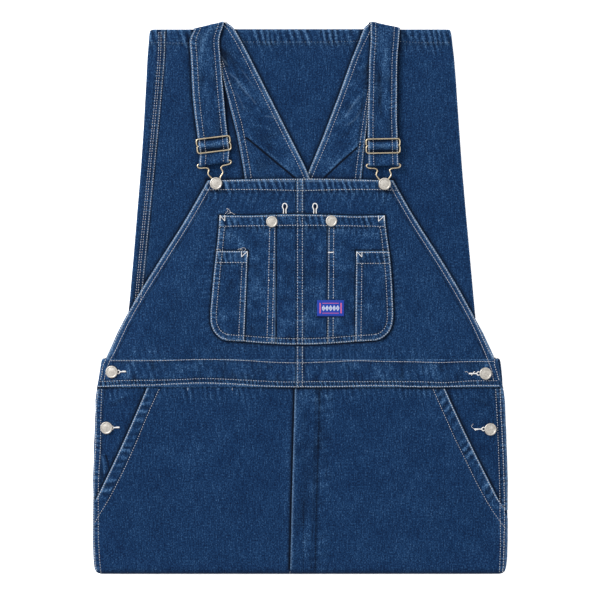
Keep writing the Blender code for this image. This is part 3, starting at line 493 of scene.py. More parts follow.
def make_denim(name, shift=0.0, mottle=1.0):
    """Indigo twill: slubs along the warp, a diagonal wale, mottled fading and worn edges, with the
    painted shade and painted highlights that the cloth's points carry.
    """
    work = Nodes(name, DENIM_STOPS[1][1], 0.86)
    grain = work.grain()
    slub = work.noise(work.mapped(grain, (560, 60, 1)), 1.0, 3.0, 0.6)
    yarn = work.noise(work.mapped(grain, (620, 430, 1)), 1.0, 2.0, 0.8)
    patches = work.noise(grain, 30.0, 4.0, 0.6)
    clouds = work.noise(grain, 8.0, 2.0, 0.5)
    wale = work.bands(work.mapped(grain, (1, 1, 1), math.radians(-28.0)), "X", 175.0,
                      ("Distortion", 1.2), ("Detail", 1.0), ("Detail Scale", 2.0))
    value = None
    for source, amount in ((slub, 0.80), (yarn, 1.95), (patches, 0.36 * mottle),
                           (clouds, 0.10 * mottle), (wale, 0.08)):
        part = work.math("MULTIPLY", work.math("SUBTRACT", source, 0.5), amount)
        value = part if value is None else work.math("ADD", value, part)
    value = work.math("ADD", value, 0.36 + shift)
    # Wear lightens the colour, and so do the painted highlights that share its attribute.
    paled = work.math("MULTIPLY", work.attribute("wear_and_highlight"), work.spread(yarn, 0.35, 0.65, 0.45, 0.95))
    value = work.math("ADD", value, work.math("MULTIPLY", paled, 0.8), clamp=True)
    colour = work.ramp(value, DENIM_STOPS)
    # Painted shade: the shade attribute, with the mottle's dark blots, mixes the colour towards
    # near-black indigo.
    shade = work.math("MULTIPLY", work.attribute("painted_shade_and_blots"),
                      work.spread(patches, 0.3, 0.7, 0.75, 1.0), clamp=True)
    colour = work.mix(shade, colour, DENIM_SHADE_AND_BLOT)
    pale = work.math("MULTIPLY", work.line("pale"), work.spread(yarn, 0.3, 0.65, 0.45, 1.0))
    colour = work.mix(pale, colour, DENIM_PALE)
    normal = work.bump(slub, 0.00040, 0.6)
    normal = work.bump(wale, 0.00025, 0.6, normal)
    # The sharp dark lines are painted shadow lines along edges, folds and seams.
    work.surface(Base_Color=work.mix(work.line("dark"), colour, DENIM_SHADE_AND_BLOT),
                 Roughness=work.spread(yarn, 0.3, 0.7, 0.78, 0.95),
                 Normal=work.bump(yarn, 0.00045, 0.6, normal), Specular_IOR_Level=0.07,
                 Sheen_Weight=0.02, Sheen_Roughness=0.45, Sheen_Tint=(0.45, 0.62, 0.92))
    return work.material


def make_thread(name, pale, warm, shine=0.5):
    """Plied cotton thread; each stitch has its own tone."""
    work = Nodes(name, pale, 0.72)
    fuzz = work.noise(work.place(), 2600.0, 2.0, 0.6)
    colour = work.mix(work.attribute("tone"), pale, warm)
    dark = tuple(0.55 * c for c in warm)
    work.surface(Base_Color=work.mix(work.spread(fuzz, 0.35, 0.65, 0.0, 0.45), colour, dark),
                 Normal=work.bump(fuzz, 0.0002, 0.5), Sheen_Weight=0.3 * shine,
                 Specular_IOR_Level=shine)
    return work.material


def make_metal(name, bright, dull, roughness, spots):
    """Metal with tarnish in soft patches and fine scratches."""
    work = Nodes(name, bright, roughness, 1.0)
    place = work.place()
    tarnish = work.noise(place, spots, 4.0, 0.6)
    scratches = work.noise(work.mapped(place, (400, 2600, 900)), 1.0, 2.0, 0.5)
    work.surface(Base_Color=work.mix(work.spread(tarnish, 0.42, 0.66, 0.0, 0.85), bright, dull),
                 Roughness=work.spread(tarnish, 0.3, 0.7, roughness - 0.06, roughness + 0.16),
                 Normal=work.bump(tarnish, 0.00012, 0.3, work.bump(scratches, 0.00006, 0.35)))
    return work.material


def make_label_cloth(name, colour, other):
    """Fine woven ribbon."""
    work = Nodes(name, colour, 0.6)
    grain = work.grain()
    fuzz = work.noise(grain, 900.0, 2.0, 0.6)
    normal = work.bump(work.bands(grain, "Y", 420.0), 0.00015, 0.6)
    work.surface(Base_Color=work.mix(work.spread(fuzz, 0.3, 0.7, 0.0, 0.6), colour, other),
                 Normal=work.bump(fuzz, 0.0001, 0.4, normal), Sheen_Weight=0.03,
                 Specular_IOR_Level=0.15)
    return work.material


DENIM_STOPS = ((0.0, (0.0007, 0.0060, 0.0250)), (0.36, (0.0028, 0.0175, 0.0580)),
               (0.62, (0.0104, 0.0395, 0.1035)), (1.0, (0.0600, 0.1280, 0.2360)))
# Near-black indigo for painted shade, sharp painted shadow lines and the mottle's dark blots.
DENIM_SHADE_AND_BLOT = (0.0004, 0.0022, 0.0080)
DENIM_PALE = (0.165, 0.255, 0.375)
denim = make_denim("denim")
denim_bib = make_denim("denim_bib", 0.012)
denim_dark = make_denim("denim_dark", -0.03, 1.4)
denim_worn = make_denim("denim_worn", 0.026, 1.5)
thread = make_thread("thread", (0.405, 0.440, 0.490), (0.325, 0.318, 0.338))
thread_faint = make_thread("thread_faint", (0.150, 0.205, 0.290), (0.090, 0.140, 0.215))
thread_white = make_thread("thread_white", (0.66, 0.655, 0.65), (0.52, 0.51, 0.50))
thread_navy = make_thread("thread_navy", (0.006, 0.012, 0.035), (0.003, 0.006, 0.018), 0.02)
brass = make_metal("brass_wire", (0.50, 0.43, 0.31), (0.27, 0.215, 0.14), 0.34, 220.0)
nickel = make_metal("aged_nickel", (0.47, 0.445, 0.41), (0.30, 0.28, 0.25), 0.48, 420.0)
label_blue = make_label_cloth("label_blue", (0.0085, 0.0330, 0.2700), (0.0055, 0.0220, 0.1700))
label_red = make_label_cloth("label_red", (0.520, 0.110, 0.230), (0.330, 0.070, 0.180))
label_white = make_label_cloth("label_white", (0.56, 0.60, 0.68), (0.34, 0.38, 0.50))


# ---------------------------------------------------------------- meshes

cloth_parts = []          # the grids that stitches are laid on


def add_mesh(name, verts, faces, material, smooth=True):
    """A new object from points in millimetres, riding on the part's body."""
    mesh = bpy.data.meshes.new(name)
    mesh.from_pydata([tuple(v) for v in np.asarray(verts) * MM], [], [tuple(f) for f in faces])
    mesh.validate()
    if smooth:
        mesh.polygons.foreach_set("use_smooth", [True] * len(mesh.polygons))
    mesh.materials.append(material)
    obj = bpy.data.objects.new(name, mesh)
    bpy.context.scene.collection.objects.link(obj)
    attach(obj, "root")
    return obj


def settle(obj, *solids):
    """Hides the solids that a piece stands for."""
    if solids:
        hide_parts(*solids)
    return obj


def grid_faces(rows, columns):
    a = (np.arange(rows - 1)[:, None] * columns + np.arange(columns - 1)).ravel()
    return np.stack([a, a + columns, a + columns + 1, a + 1], axis=1)


def ring_faces(rings, sides, start=0, closed=False):
    """Faces of a tube whose rings of points follow each other."""
    faces = []
    for k in range(rings if closed else rings - 1):
        a, b = start + k * sides, start + (k + 1) % rings * sides
        for j in range(sides):
            after = (j + 1) % sides
            faces.append((a + j, a + after, b + after, b + j))
    return faces


def caps(rings, sides, start=0):
    """The two ends of an open tube."""
    last = start + (rings - 1) * sides
    return [tuple(start + j for j in range(sides))[::-1], tuple(last + j for j in range(sides))]


def put_attribute(mesh, name, values):
    layer = mesh.attributes.new(name, "FLOAT", "POINT")
    layer.data.foreach_set("value", np.asarray(values, np.float32))


def put_grain(mesh, places):
    """Each vertex's place in the weave, in millimetres, as a UV map in metres."""
    uv = mesh.uv_layers.new(name="grain")
    loops = np.zeros(len(mesh.loops), int)
    mesh.loops.foreach_get("vertex_index", loops)
    uv.data.foreach_set("uv", (np.asarray(places)[loops] * MM).astype(np.float32).ravel())


def grid_object(name, points, grain, marks, material, wall, keep=None):
    """A cloth shell from a grid of points, with its grain as a UV map and a Solidify wall."""
    faces = grid_faces(*points.shape[:2])
    verts, grain = points.reshape(-1, 3), grain.reshape(-1, 2)
    marks = {k: v.ravel() for k, v in marks.items()}
    if keep is not None:
        centre = verts[faces].mean(axis=1)
        used, faces = np.unique(faces[keep(centre[:, 0], centre[:, 1])], return_inverse=True)
        faces = faces.reshape(-1, 4)
        verts, grain = verts[used], grain[used]
        marks = {k: v[used] for k, v in marks.items()}
    obj = add_mesh(name, verts, faces, material)
    for key, values in marks.items():
        put_attribute(obj.data, key, values)
    put_grain(obj.data, grain)
    cloth_parts.append((verts, faces))
    solid = obj.modifiers.new("Wall", "SOLIDIFY")
    solid.thickness = wall * MM
    solid.offset = -1.0
    solid.use_even_offset = False
    return obj


RIM = (0, 0.35, 0.9, 1.8)           # closer rows and columns at an edge
NEAR = (-0.9, -0.3, 0.3, 0.9)         # and on both sides of a mark
RIM_R = 1.2


def rim_drop(d, radius=RIM_R):
    """How far a rounded edge drops at a distance from it."""
    inside = np.clip(1.0 - d / radius, 0.0, 1.0)
    return radius * (1.0 - np.sqrt(1.0 - inside ** 2))


def spread(stations, counts):
    """Places between stations, with counts[k] steps from each to the next."""
    parts = [np.linspace(a, b, n, endpoint=False) for a, b, n in zip(stations, stations[1:], counts)]
    return np.concatenate(parts + [[stations[-1]]])


def rows_between(top, bottom, pitch, rims=True, marks=()):
    """Rows from top to bottom, closer together at the two edges and at marks."""
    keys = {top, bottom} | {mark + r for mark in marks for r in NEAR}
    if rims:
        keys |= {top - r for r in RIM} | {bottom + r for r in RIM}
    keys = sorted(keys, reverse=True)
    return spread(keys, [max(1, round((a - b) / pitch)) for a, b in zip(keys, keys[1:])])


def columns_between(left, right, pitch, widest, marks=(), sample=0.0):
    """A function of y that gives a row's places across, as many in each row. The row at sample
    shares them out."""
    places = (left, *marks, right)
    steps = [1, 1, 1] + [None, 1, 1, 1] * (len(marks) + 1)

    def keys_at(y):
        start, *middle, end = (float(p(y)) if callable(p) else p for p in places)
        return ([start + r for r in RIM] + [m + r for m in middle for r in NEAR]
                + [end - r for r in reversed(RIM)])

    gaps = np.diff(keys_at(sample))
    open_gaps = sum(g for g, s in zip(gaps, steps) if s is None)
    count = max(4, round(widest / pitch))
    counts = [s or max(2, round(count * g / open_gaps)) for g, s in zip(gaps, steps)]
    return lambda y: spread(keys_at(y), counts)


def in_order(side, outer, inner):
    """The two edges of a piece on one side, from left to right."""
    return (outer, inner) if side == "l" else (inner, outer)


def from_outer(side, xs):
    """How far each point of a grid is from the garment's side."""
    return np.abs(xs - (xs[:, :1] if side == "l" else xs[:, -1:]))


def plan_grid(ys, row):
    xs = np.array([row(y) for y in ys])
    return xs, np.repeat(np.asarray(ys)[:, None], xs.shape[1], axis=1)


def panel(name, solids, ys, row, reliefs, material, wall=0.9, passes=2, grain=0.0, rims="lrtb",
          bend=None, keep=None, waves=True):
    """A cloth piece over its solids, as a grid of rows across the plan."""
    xs, yy = plan_grid(ys, row)
    if bend is not None:
        yy = yy + bend(xs, yy)
    z = soften(top_of(solids, xs, yy), passes)
    dz, wear_and_highlight, painted_shade_and_blots = relief_of(reliefs, xs, yy)
    if waves:
        dz += 0.10 * field(xs, yy, 23.0, 11) + 0.22 * field(xs + 40.0, yy, 61.0, 12)
    edges = {"l": xs - xs[:, :1], "r": xs[:, -1:] - xs, "t": yy[:1] - yy, "b": yy - yy[-1:]}
    for edge in rims:
        dz -= rim_drop(edges[edge])
        wear_and_highlight += 0.5 * np.exp(-(edges[edge] / 1.3) ** 2)
    turn = math.radians(grain)
    weave = np.stack([xs * math.cos(turn) + yy * math.sin(turn),
                      -xs * math.sin(turn) + yy * math.cos(turn)], axis=2)
    marks = marks_of(reliefs, xs, yy, wear_and_highlight, painted_shade_and_blots)
    obj = grid_object(name, np.stack([xs, yy, z + dz], axis=2), weave, marks, material, wall, keep)
    return settle(obj, *solids)


def declare(obj, pieces=(), size=None):
    """Works out the box round a piece's flat shape, which nothing keeps."""
    mesh = obj.data
    co = np.array([v.co for v in mesh.vertices])
    width, length = size or (co.max(0) - co.min(0))[:2]
    width, length = max(width, 0.0101), max(length, 0.0101)
    list(pieces)


# ---------------------------------------------------------------- lines that pieces share

leg_ys = (371, 246, 136, 25, -27)
leg_line = {s: LEGS.line(s, leg_ys) for s in "lr"}
bib_ys = (163.5, 112.5, 47.5, 10.5, -27, -71, -83)
bib_line = {s: BIB.line(s, bib_ys) for s in "lr"}
bib_top = [(-127.0, BIB_TOP), (128.3, BIB_TOP)]
waist_top = [(-262, -85.8), (-222, -85.6), (-184.5, -85.4), (-147, -84.2), (-109, -84.2),
             (-71, -85.6), (-34, -88), (4, -88.5), (42, -87.2), (79, -85.6),
             (117, -86.8), (155, -87.2), (193, -88.2), (230, -87), (268, -86.9)]
waist_upper = [(-277.7, -114.9), (-241, -113.1), (-204, -112.7), (-168, -111.9),
               (-131, -110.3), (-94, -111.6), (-58, -113.4), (-21, -115.1), (16, -114.6),
               (89, -114.6), (162, -114.7), (199, -115.9), (236, -113.6), (272.5, -113.4)]
waist_lower = [(-279, -121.6), (-242, -119.7), (-205, -119.2), (-168, -117.3),
               (-131, -116.2), (-94, -117.6), (-57, -120), (-20, -121.4), (53, -121.2),
               (90, -120), (127, -120.1), (164, -121.5), (201, -121.4), (238, -120),
               (275, -120.3)]
fly_edge = FLY.line("x", (-122, -191, -297, -372))
pocket_ys = (113, 98, 65.5, 47.5, 25, -20, -28, -36, -43, -48.5, -53, -56, -57.6)


def arch(x, half=120.0):
    return 1.0 - (x / half) ** 2


def dip(x):
    """How far the pocket's bottom edge hangs below its corners."""
    return 6.5 * np.clip(arch(x), 0.0, 1.0) ** 1.8


def pocket_bend(x, y):
    """The pocket's top edge rises in the middle and its bottom edge dips."""
    top = np.clip((y - 99.0) / 16.0, 0.0, 1.0)
    bottom = np.clip((-30.0 - y) / 27.6, 0.0, 1.0)
    return PUFF.at("rise", x) * top - dip(x) * bottom


pocket_bottom = [(x, -57.6 - dip(x)) for x in (-102.5, -80, -50, -25, 0, 25, 50,
                                               80, 106)]
pocket_top = [(x, 115.0 + float(PUFF.at("rise", x)))
              for x in (-110.6, -72, -20, 2, 30, 77, 100, 116.2)]
pocket_outline = (POCKET.line("l", pocket_ys) + pocket_bottom
                  + POCKET.line("r", pocket_ys)[::-1])


def contact(*lines):
    """The sharp painted shadow line at the edge of cloth that lies on top; each with how far it is
    off.
    """
    return [Shade(offset(line, off), 1.3, 0.95) for line, off in lines]


def shades(*rows):
    return [Shade(*row) for row in rows]


def creases(*rows, sign=1.0):
    """Creases drawn for the right side; each has its line, width, height and wear."""
    return [Crease(flipped(line, sign), *numbers) for line, *numbers in rows]


# ---------------------------------------------------------------- cloth: legs behind the bib

LEG_END = -27.0
SHOWN_ABOVE = 134.5       # the bib hides the legs' middle below this
HEM_ROW = across(354.9, 215)
seam_l = [(-192.2, 371), (-193.3, 331), (-225.2, -6), (-227.2, -27)]


def hem_marks(start, end):
    """The turned hem's puckers, worn edges and the painted shadow line under it."""
    line = lambda y: [(start, y), (end, y)]
    return [Pucker(HEM_ROW, 0.0, 17.0, 0.50, 8.9, 21, 0.25, 6.5, 0.68),
            Pucker(across(351, 215), -9.0, -1.0, 0.20, 8.9, 22, 0.3, 5.0, 0.15),
            Fade(line(369.8), 1.6, 0.35, seed=4), Fade(line(352.5), 2.5, 0.20, seed=5),
            Shade(line(351.6), 1.8, 0.35)]


def make_legs():
    """The upper leg's back, and the strip that shows of the one beneath."""
    ys = rows_between(LEG_TOP, LEG_END, 2.3, marks=(HEM_ROW[0][1],))
    side = lambda y: LEGS.at("l", y)
    row = columns_between(side, UPPER_LEG_EDGE, 2.3, 332.0, sample=200.0,
                          marks=(lambda y: side(y) + 9.8, lambda y: side(y) + 20.0))
    strap_l, strap_l2 = strap_edges("l")
    strap_r, strap_r2 = strap_edges("r")
    v_ys = (372, 334.7, 281, 225, 186, 160)
    v_l, v_r = (BACK_BIB[s].line("inner", v_ys) for s in "lr")
    outer_l, outer_r = (BACK_BIB[s].line("outer", v_ys[1:]) for s in "lr")
    reliefs = [
        *hem_marks(-206, 206),
        Pucker(seam_l, -4.6, 4.6, 0.14, 6.3, 31, 0.0, 2.0, 0.34),
        *beside(Shade, seam_l, (6.9, 1.4, 0.75), (2.5, 1.3, 0.50), (-1.5, 0.9, 0.40),
                (-5.2, 1.2, 0.45)),
        *beside(Fade, seam_l, (5.2, 1.2, 0.30, 12, 8), (9.6, 1.8, 0.16, 12, 9)),
        *shades((strap_l, 4.0, 0.95), (strap_l2, 4.0, 0.95), (v_l, 4.0, 0.9), (v_r, 4.0, 0.9),
                (outer_l, 4.5, 0.9), (bib_line["l"], 4.2, 0.85), (bib_top, 4.5, 0.85)),
        *contact((bib_line["l"], -0.4), (bib_top, 0.5), (strap_l, -0.4), (strap_l2, 0.4),
                 (strap_r, -0.4), (v_l, 0.4), (v_r, -0.4), (outer_l, -0.4), (outer_r, 0.4)),
        Pale(offset(seam_l, 5.0), 1.2, 0.36, seed=8),
        *creases(([(-190, 330), (-186, 300), (-190, 262)], 4.0, 0.25, 0.10),
                 ([(30, 345), (36, 320)], 3.0, 0.22, 0.08),
                 ([(-20, 346), (-12, 318)], 3.0, 0.20, 0.08))]
    leg = panel("leg_back_left", ("leg_back_l", "leg_hem_l"), ys, row, reliefs, denim,
                keep=lambda x, y: (y > SHOWN_ABOVE) | (x < BIB.at("l", y) + 14.5))

    overlap = UPPER_LEG_EDGE - 12.0
    start = lambda y: max(overlap, BIB.at("r", y) - 14.5) if y < SHOWN_ABOVE else overlap
    row = columns_between(start, lambda y: LEGS.at("r", y), 2.2, 110.0, sample=200.0)
    reliefs = [
        *hem_marks(100, 210),
        *shades((strap_r2, 4.0, 0.85), (bib_line["r"], 4.2, 0.85), (bib_top, 4.5, 0.85)),
        *contact((strap_r2, 0.4), (bib_line["r"], 0.4), (bib_top, 0.5)),
        *creases(([(176, 340), (182, 290), (179, 230)], 5.0, 0.25, 0.08),
                 ([(196, 250), (200, 190), (206, 130)], 5.0, -0.25, 0.10))]
    strip = panel("leg_back_right", ("leg_back_r", "leg_hem_r"), ys, row, reliefs, denim, rims="rt")
    return leg, strip


# ---------------------------------------------------------------- cloth: bib and its pockets

CENTRE = {"l": -6.4, "r": -6.2}       # the halves' edges at the felled centre seam
CENTRE_RIDGE = 5.8        # half the felled seam's width
NARROW_OUTSET = 0.6       # how far the narrow pockets stay inside the pocket's sides
pocket_mottle = Mottle(upright(0, 118, -64), -125.0, 125.0, 11.0, 1.0, 56, 0.30, 0.28, 0.10)
pocket_worn = [Fade(offset(pocket_outline, 1.4), 1.8, 0.50, 9.0, 8),
               Pale(offset(pocket_outline, 1.6), 1.2, 0.24, seed=8)]


def make_bib(side):
    sign = SIGN[side]
    ys = rows_between(BIB_TOP, -101.0, 1.9, marks=(148.9,))
    edge = lambda y: BIB.at(side, y)
    marks = (lambda y: edge(y) - sign * 10.0,)
    if side == "r":
        marks = (CENTRE_RIDGE, *marks)
    row = columns_between(*in_order(side, edge, CENTRE[side]), 1.9,
                          {"l": 208.0, "r": 226.0}[side], marks)
    side_line = bib_line[side]
    button_x, button_y = BIB_BUTTONS[side]
    reliefs = [
        Pucker(across(149.5, 135), 0.0, 13.0, 0.34, 8.2, 41, 0.3, 5.0, 0.45),
        Pucker(side_line, *sorted((0.0, sign * 9.0)), 0.20, 7.4, 43, 0.5, 2.5, 0.36),
        Pucker(upright(0, 165, -100), -4.6, 4.6, 0.14, 5.4, 44, 0.0, 1.8, 0.38),
        Pucker(across(147, 135), -11.0, -2.0, 0.22, 9.5, 48, -0.4, 6.0, 0.17),
        Fade(bib_top, 1.5, 0.30, seed=6),
        *beside(Fade, side_line, (-1.6, 2, 0.55, 9, 46), (-5, 3, 0.16, 9, 47), sign=sign),
        Pale(offset(side_line, -sign * 1.5), 1.5, 0.50, 9.0, 46),
        Pale(shifted(bib_top, 0.0, -1.4), 1.2, 0.42, seed=6),
        Fade(upright(0, 165, 117), 2.6, 0.24, 6.0, 50),
        Pale(upright(3.4, 165, -84), 1.1, 0.22, 10.0, 48),
        Pale(upright(-3.4, 165, -84), 1.1, 0.18, 10.0, 49),
        *shades((across(147, 130), 1.4, 0.40), (offset(side_line, sign * -11.2), 1.3, 0.50),
                (upright(CENTRE_RIDGE, 165.0, -100.0), 1.2, 0.55),
                (upright(-CENTRE_RIDGE, 165.0, -100.0), 1.2, 0.65),
                (pocket_outline, 3.0, 0.80), (pocket_top, 2.6, 0.80),
                (offset(pocket_outline, -0.5), 1.2, 0.95), (offset(pocket_top, 0.5), 1.2, 0.95),
                (waist_top, 1.6, 0.45),
                # Painted shadow under the bib's button.
                (shifted([(-6, -9), (6, -9)], button_x, button_y), 3.0, 0.6)),
        Pucker(offset(pocket_outline, -3.0), -6.0, 6.0, 0.12, 8.0, 45, 0.2, 5.0, 0.16),
        Pucker(across(-80.0), -6.0, 8.0, 0.14, 9.0, 81, 0.2, 7.0, 0.10),
        Mottle(across(-80.0), -8.0, 14.0, 11.0, 0.8, 85, 0.14, 0.12, 0.10),
        *creases(([(138, 96), (160, 30), (176, -30)], 9.0, 0.45, 0.06),
                 ([(150, 20), (190, -40)], 7.0, -0.35, 0.06),
                 ([(60, 140), (75, 124)], 4.0, 0.30, 0.10), sign=sign)]
    top_rise = lambda x, y: (2.2 * np.clip(arch(x, 110.0), 0.0, 1.0)
                             * np.clip((y - 152.0) / 11.5, 0.0, 1.0))
    return panel(f"bib_{WORDS[side]}", (f"bib_{side}",), ys, row, reliefs, denim_bib,
                 rims={"l": "lt", "r": "rtl"}[side], bend=top_rise)


def make_pocket():
    ys = rows_between(115.0, -57.6, 1.6, marks=(99.6,))
    row = columns_between(lambda y: POCKET.at("l", y), lambda y: POCKET.at("r", y), 1.5, 240.0,
                          POCKET_FOLDS)
    hem_row, below_hem, under_hem = ([(-115.0, y), (120.0, y)] for y in (99.4, 97, 97.4))
    full = lambda x: upright(x, 118.0, -64.0)
    folds = [(full(x), sign) for x, sign in zip(POCKET_FOLDS, (-1, 1))]
    narrow = [[(NARROW[s][0], NARROW_Y[0]), (NARROW[s][1], -60.0)] for s in "lr"]
    over_narrow = lambda y: ([(-118.0, y), (NARROW["l"][0], y)], [(NARROW["r"][0], y), (124.0, y)])
    reliefs = [
        Pucker(hem_row, 0.0, 16.0, 0.32, 7.8, 51, 0.3, 5.0, 0.42),
        Pucker(offset(pocket_outline, 3.8), -4.2, 4.2, 0.20, 5.6, 52, 0.1, 2.6, 0.44),
        Pucker(full(0.0), -4.6, 4.6, 0.14, 5.6, 53, 0.0, 1.8, 0.34),
        Pucker(below_hem, -9.0, -2.0, 0.18, 8.5, 57, -0.3, 5.0, 0.16),
        *(Pucker(offset(fold, sign * 5.5), -4.5, 4.5, 0.14, 6.0, seed, 0.0, 2.0, 0.26)
          for (fold, sign), seed in zip(folds, (54, 55))),
        Fade(pocket_top, 1.6, 0.30, seed=7), Fade([(43.4, 61), (43.2, 47)], 1.8, 0.55, 5.0, 51),
        *pocket_worn, pocket_mottle,
        *shades((under_hem, 1.3, 0.45), (offset(pocket_outline, 9.6), 1.4, 0.50)),
        *shades(*((offset(fold, -sign * 0.4), 1.2, 0.95) for fold, sign in folds)),
        *shades((full(5.6), 1.2, 0.50), (full(-5.6), 1.2, 0.60)),
        *shades(*((line, 1.6, 0.95) for line in narrow), *((line, 2.6, 0.45) for line in narrow)),
        *shades(*((line, 1.2, 0.95) for line in over_narrow(65.9)),
                *((line, 2.2, 0.85) for line in over_narrow(66.0))),
        Pale(shifted(pocket_top, 0.0, -1.6), 1.1, 0.26, seed=7),
        *(Pale(offset(fold, sign * 1.4), 0.9, 0.40, seed=seed)
          for (fold, sign), seed in zip(folds, (5, 6))),
        *creases(([(-98, 92), (-94, 76)], 4.0, 0.30, 0.10),
                 ([(60, 94), (55, 60), (60, 20)], 5.0, 0.28, 0.08),
                 ([(-56, 92), (-60, 40), (-56, -10)], 5.0, 0.22, 0.06),
                 ([(20, 80), (16, 20), (22, -30)], 5.0, -0.20, 0.08)),
        Shade([(23, -25.6), (61, -25.6)], 1.6, 0.6)]
    return panel("bib_pocket_cloth", ("bib_pocket",), ys, row, reliefs, denim_bib, passes=1,
                 bend=pocket_bend)


def make_narrow_pocket(side):
    sign = SIGN[side]
    top, bottom = NARROW_Y
    ys = rows_between(top, bottom, 1.8, marks=(50.0,))
    start, end = NARROW[side]
    inner = lambda y: start + (y - top) * ((end - start) / (bottom - top))
    outer = lambda y: POCKET.at(side, y) - sign * NARROW_OUTSET
    row = columns_between(*in_order(side, outer, inner), 1.8, 46.0, sample=20.0)
    edge = [(float(inner(y)), y) for y in (top, bottom)]
    reliefs = [
        Pucker(across(49.6, 130), 0.0, 15.0, 0.30, 7.0, 61, 0.2, 4.0, 0.40),
        Pucker(offset(pocket_outline, 3.8), -4.2, 4.2, 0.18, 5.6, 52, 0.1, 2.6, 0.44),
        Pucker(offset(edge, sign * 4.5), -4.5, 4.5, 0.14, 6.0, 63, 0.0, 2.0, 0.30),
        *shades((across(47.6, 130), 1.2, 0.45), (offset(pocket_outline, 9.6), 1.4, 0.45),
                (offset(edge, sign * 10.4), 1.2, 0.35)),
        Fade(across(64, 130), 1.4, 0.35, seed=9),
        *pocket_worn,
        Pale(offset(edge, sign * 1.4), 1.1, 0.45, seed=10),
        Pale(across(64, 130), 1.0, 0.35, seed=9),
        pocket_mottle]
    droop = lambda x, y: (-3.4 * np.clip(arch(x * 0.97), -0.1, 1.0)
                          * np.clip((-30.0 - y) / 26.0, 0.0, 1.0))
    return panel(f"narrow_pocket_{WORDS[side]}", (f"bib_narrow_pocket_{side}",), ys, row, reliefs,
                 denim_bib, passes=1, bend=droop)


def make_label():
    left, right, bottom, top = LABEL
    row = columns_between(left, right, 1.6, right - left, sample=-10.0)
    swell = Pucker([(left, -13.0), (right, -13.0)], -8.0, 8.0, 0.10, 11.0, 71, wear=0.0)
    return panel("label_cloth", ("label",), rows_between(top, bottom, 1.6), row, [swell],
                 label_blue, wall=0.5, passes=0, waves=False)


# ---------------------------------------------------------------- cloth: waist and front

WAIST_MIDDLE = -99.5


def make_waistband(side):
    sign = SIGN[side]
    edge = lambda y: BODY.at(side, y) + sign * 0.4
    row = columns_between(*in_order(side, edge, CENTRE[side]), 1.8, {"l": 270.0, "r": 282.0}[side],
                          {"l": (), "r": (CENTRE_RIDGE,)}[side], sample=-100.0)
    end_x = float(BODY.at(side, -84.0))
    seam = lambda x: upright(x, -80.0, -124.0)
    reliefs = [
        Pucker(across(WAIST_MIDDLE), -13.0, 13.0, 0.16, 9.0, 81, 0.25, 3.0, 0.15),
        Mottle(across(WAIST_MIDDLE), -14.0, 14.0, 9.0, 0.7, 82, 0.32, 0.42, 0.14),
        Pucker(waist_lower, -1.0, 6.0, 0.18, 5.4, 83, 0.2, 1.6, 0.50),
        Pale(offset(waist_lower, -0.6), 1.2, 0.22, seed=3),
        Pucker(seam(0.0), -4.6, 4.6, 0.12, 5.6, 84, 0.0, 1.8, 0.26),
        Fade(offset(waist_lower, -0.6), 1.6, 0.30, seed=3),
        *shades((offset(waist_top, -2.2), 1.2, 0.35), (offset(waist_upper, 1.8), 1.1, 0.40),
                (offset(waist_lower, 3.0), 1.2, 0.45), (seam(CENTRE_RIDGE), 1.2, 0.55),
                (seam(-CENTRE_RIDGE), 1.2, 0.65),
                ([(end_x - sign * 12.0, -100.0), (end_x - sign * 14.0, -110.0)], 2.0, 0.3))]
    return panel(f"waistband_{WORDS[side]}", (f"waistband_{side}",), rows_between(*WAIST, 1.7), row,
                 reliefs, denim_worn, rims={"l": "ltb", "r": "lrtb"}[side])


def slanted(side, y):
    """Place across of the slanted pocket edge at y."""
    (x0, y0), (x1, y1) = SLANT[side]
    bow = 1.7 * np.clip(1.0 - ((y - (y0 + y1) / 2.0) / ((y0 - y1) / 2.0)) ** 2, 0.0, 1.0)
    return x0 + (y - y0) * (x1 - x0) / (y1 - y0) - SIGN[side] * bow


def slant_line(side, *ys):
    return [(float(slanted(side, y)), y) for y in ys]


def front_edge(side, y):
    """Outer edge of the front leg: the slanted pocket edge, then the side seam."""
    inner_of = {"l": np.maximum, "r": np.minimum}[side]
    return inner_of(BODY.at(side, y), slanted(side, y))


def under_waistband(width):
    """The painted shadow line and the puckers below the waistband."""
    return [Pucker(across(-123.0), -9.0, 0.0, 0.22, 7.4, 93, 0.15, 9.0, 0.24),
            *shades((shifted(waist_lower, 0.0, -2.2), width, 0.80),
                    (shifted(waist_lower, 0.0, -1.9), 1.4, 0.95))]


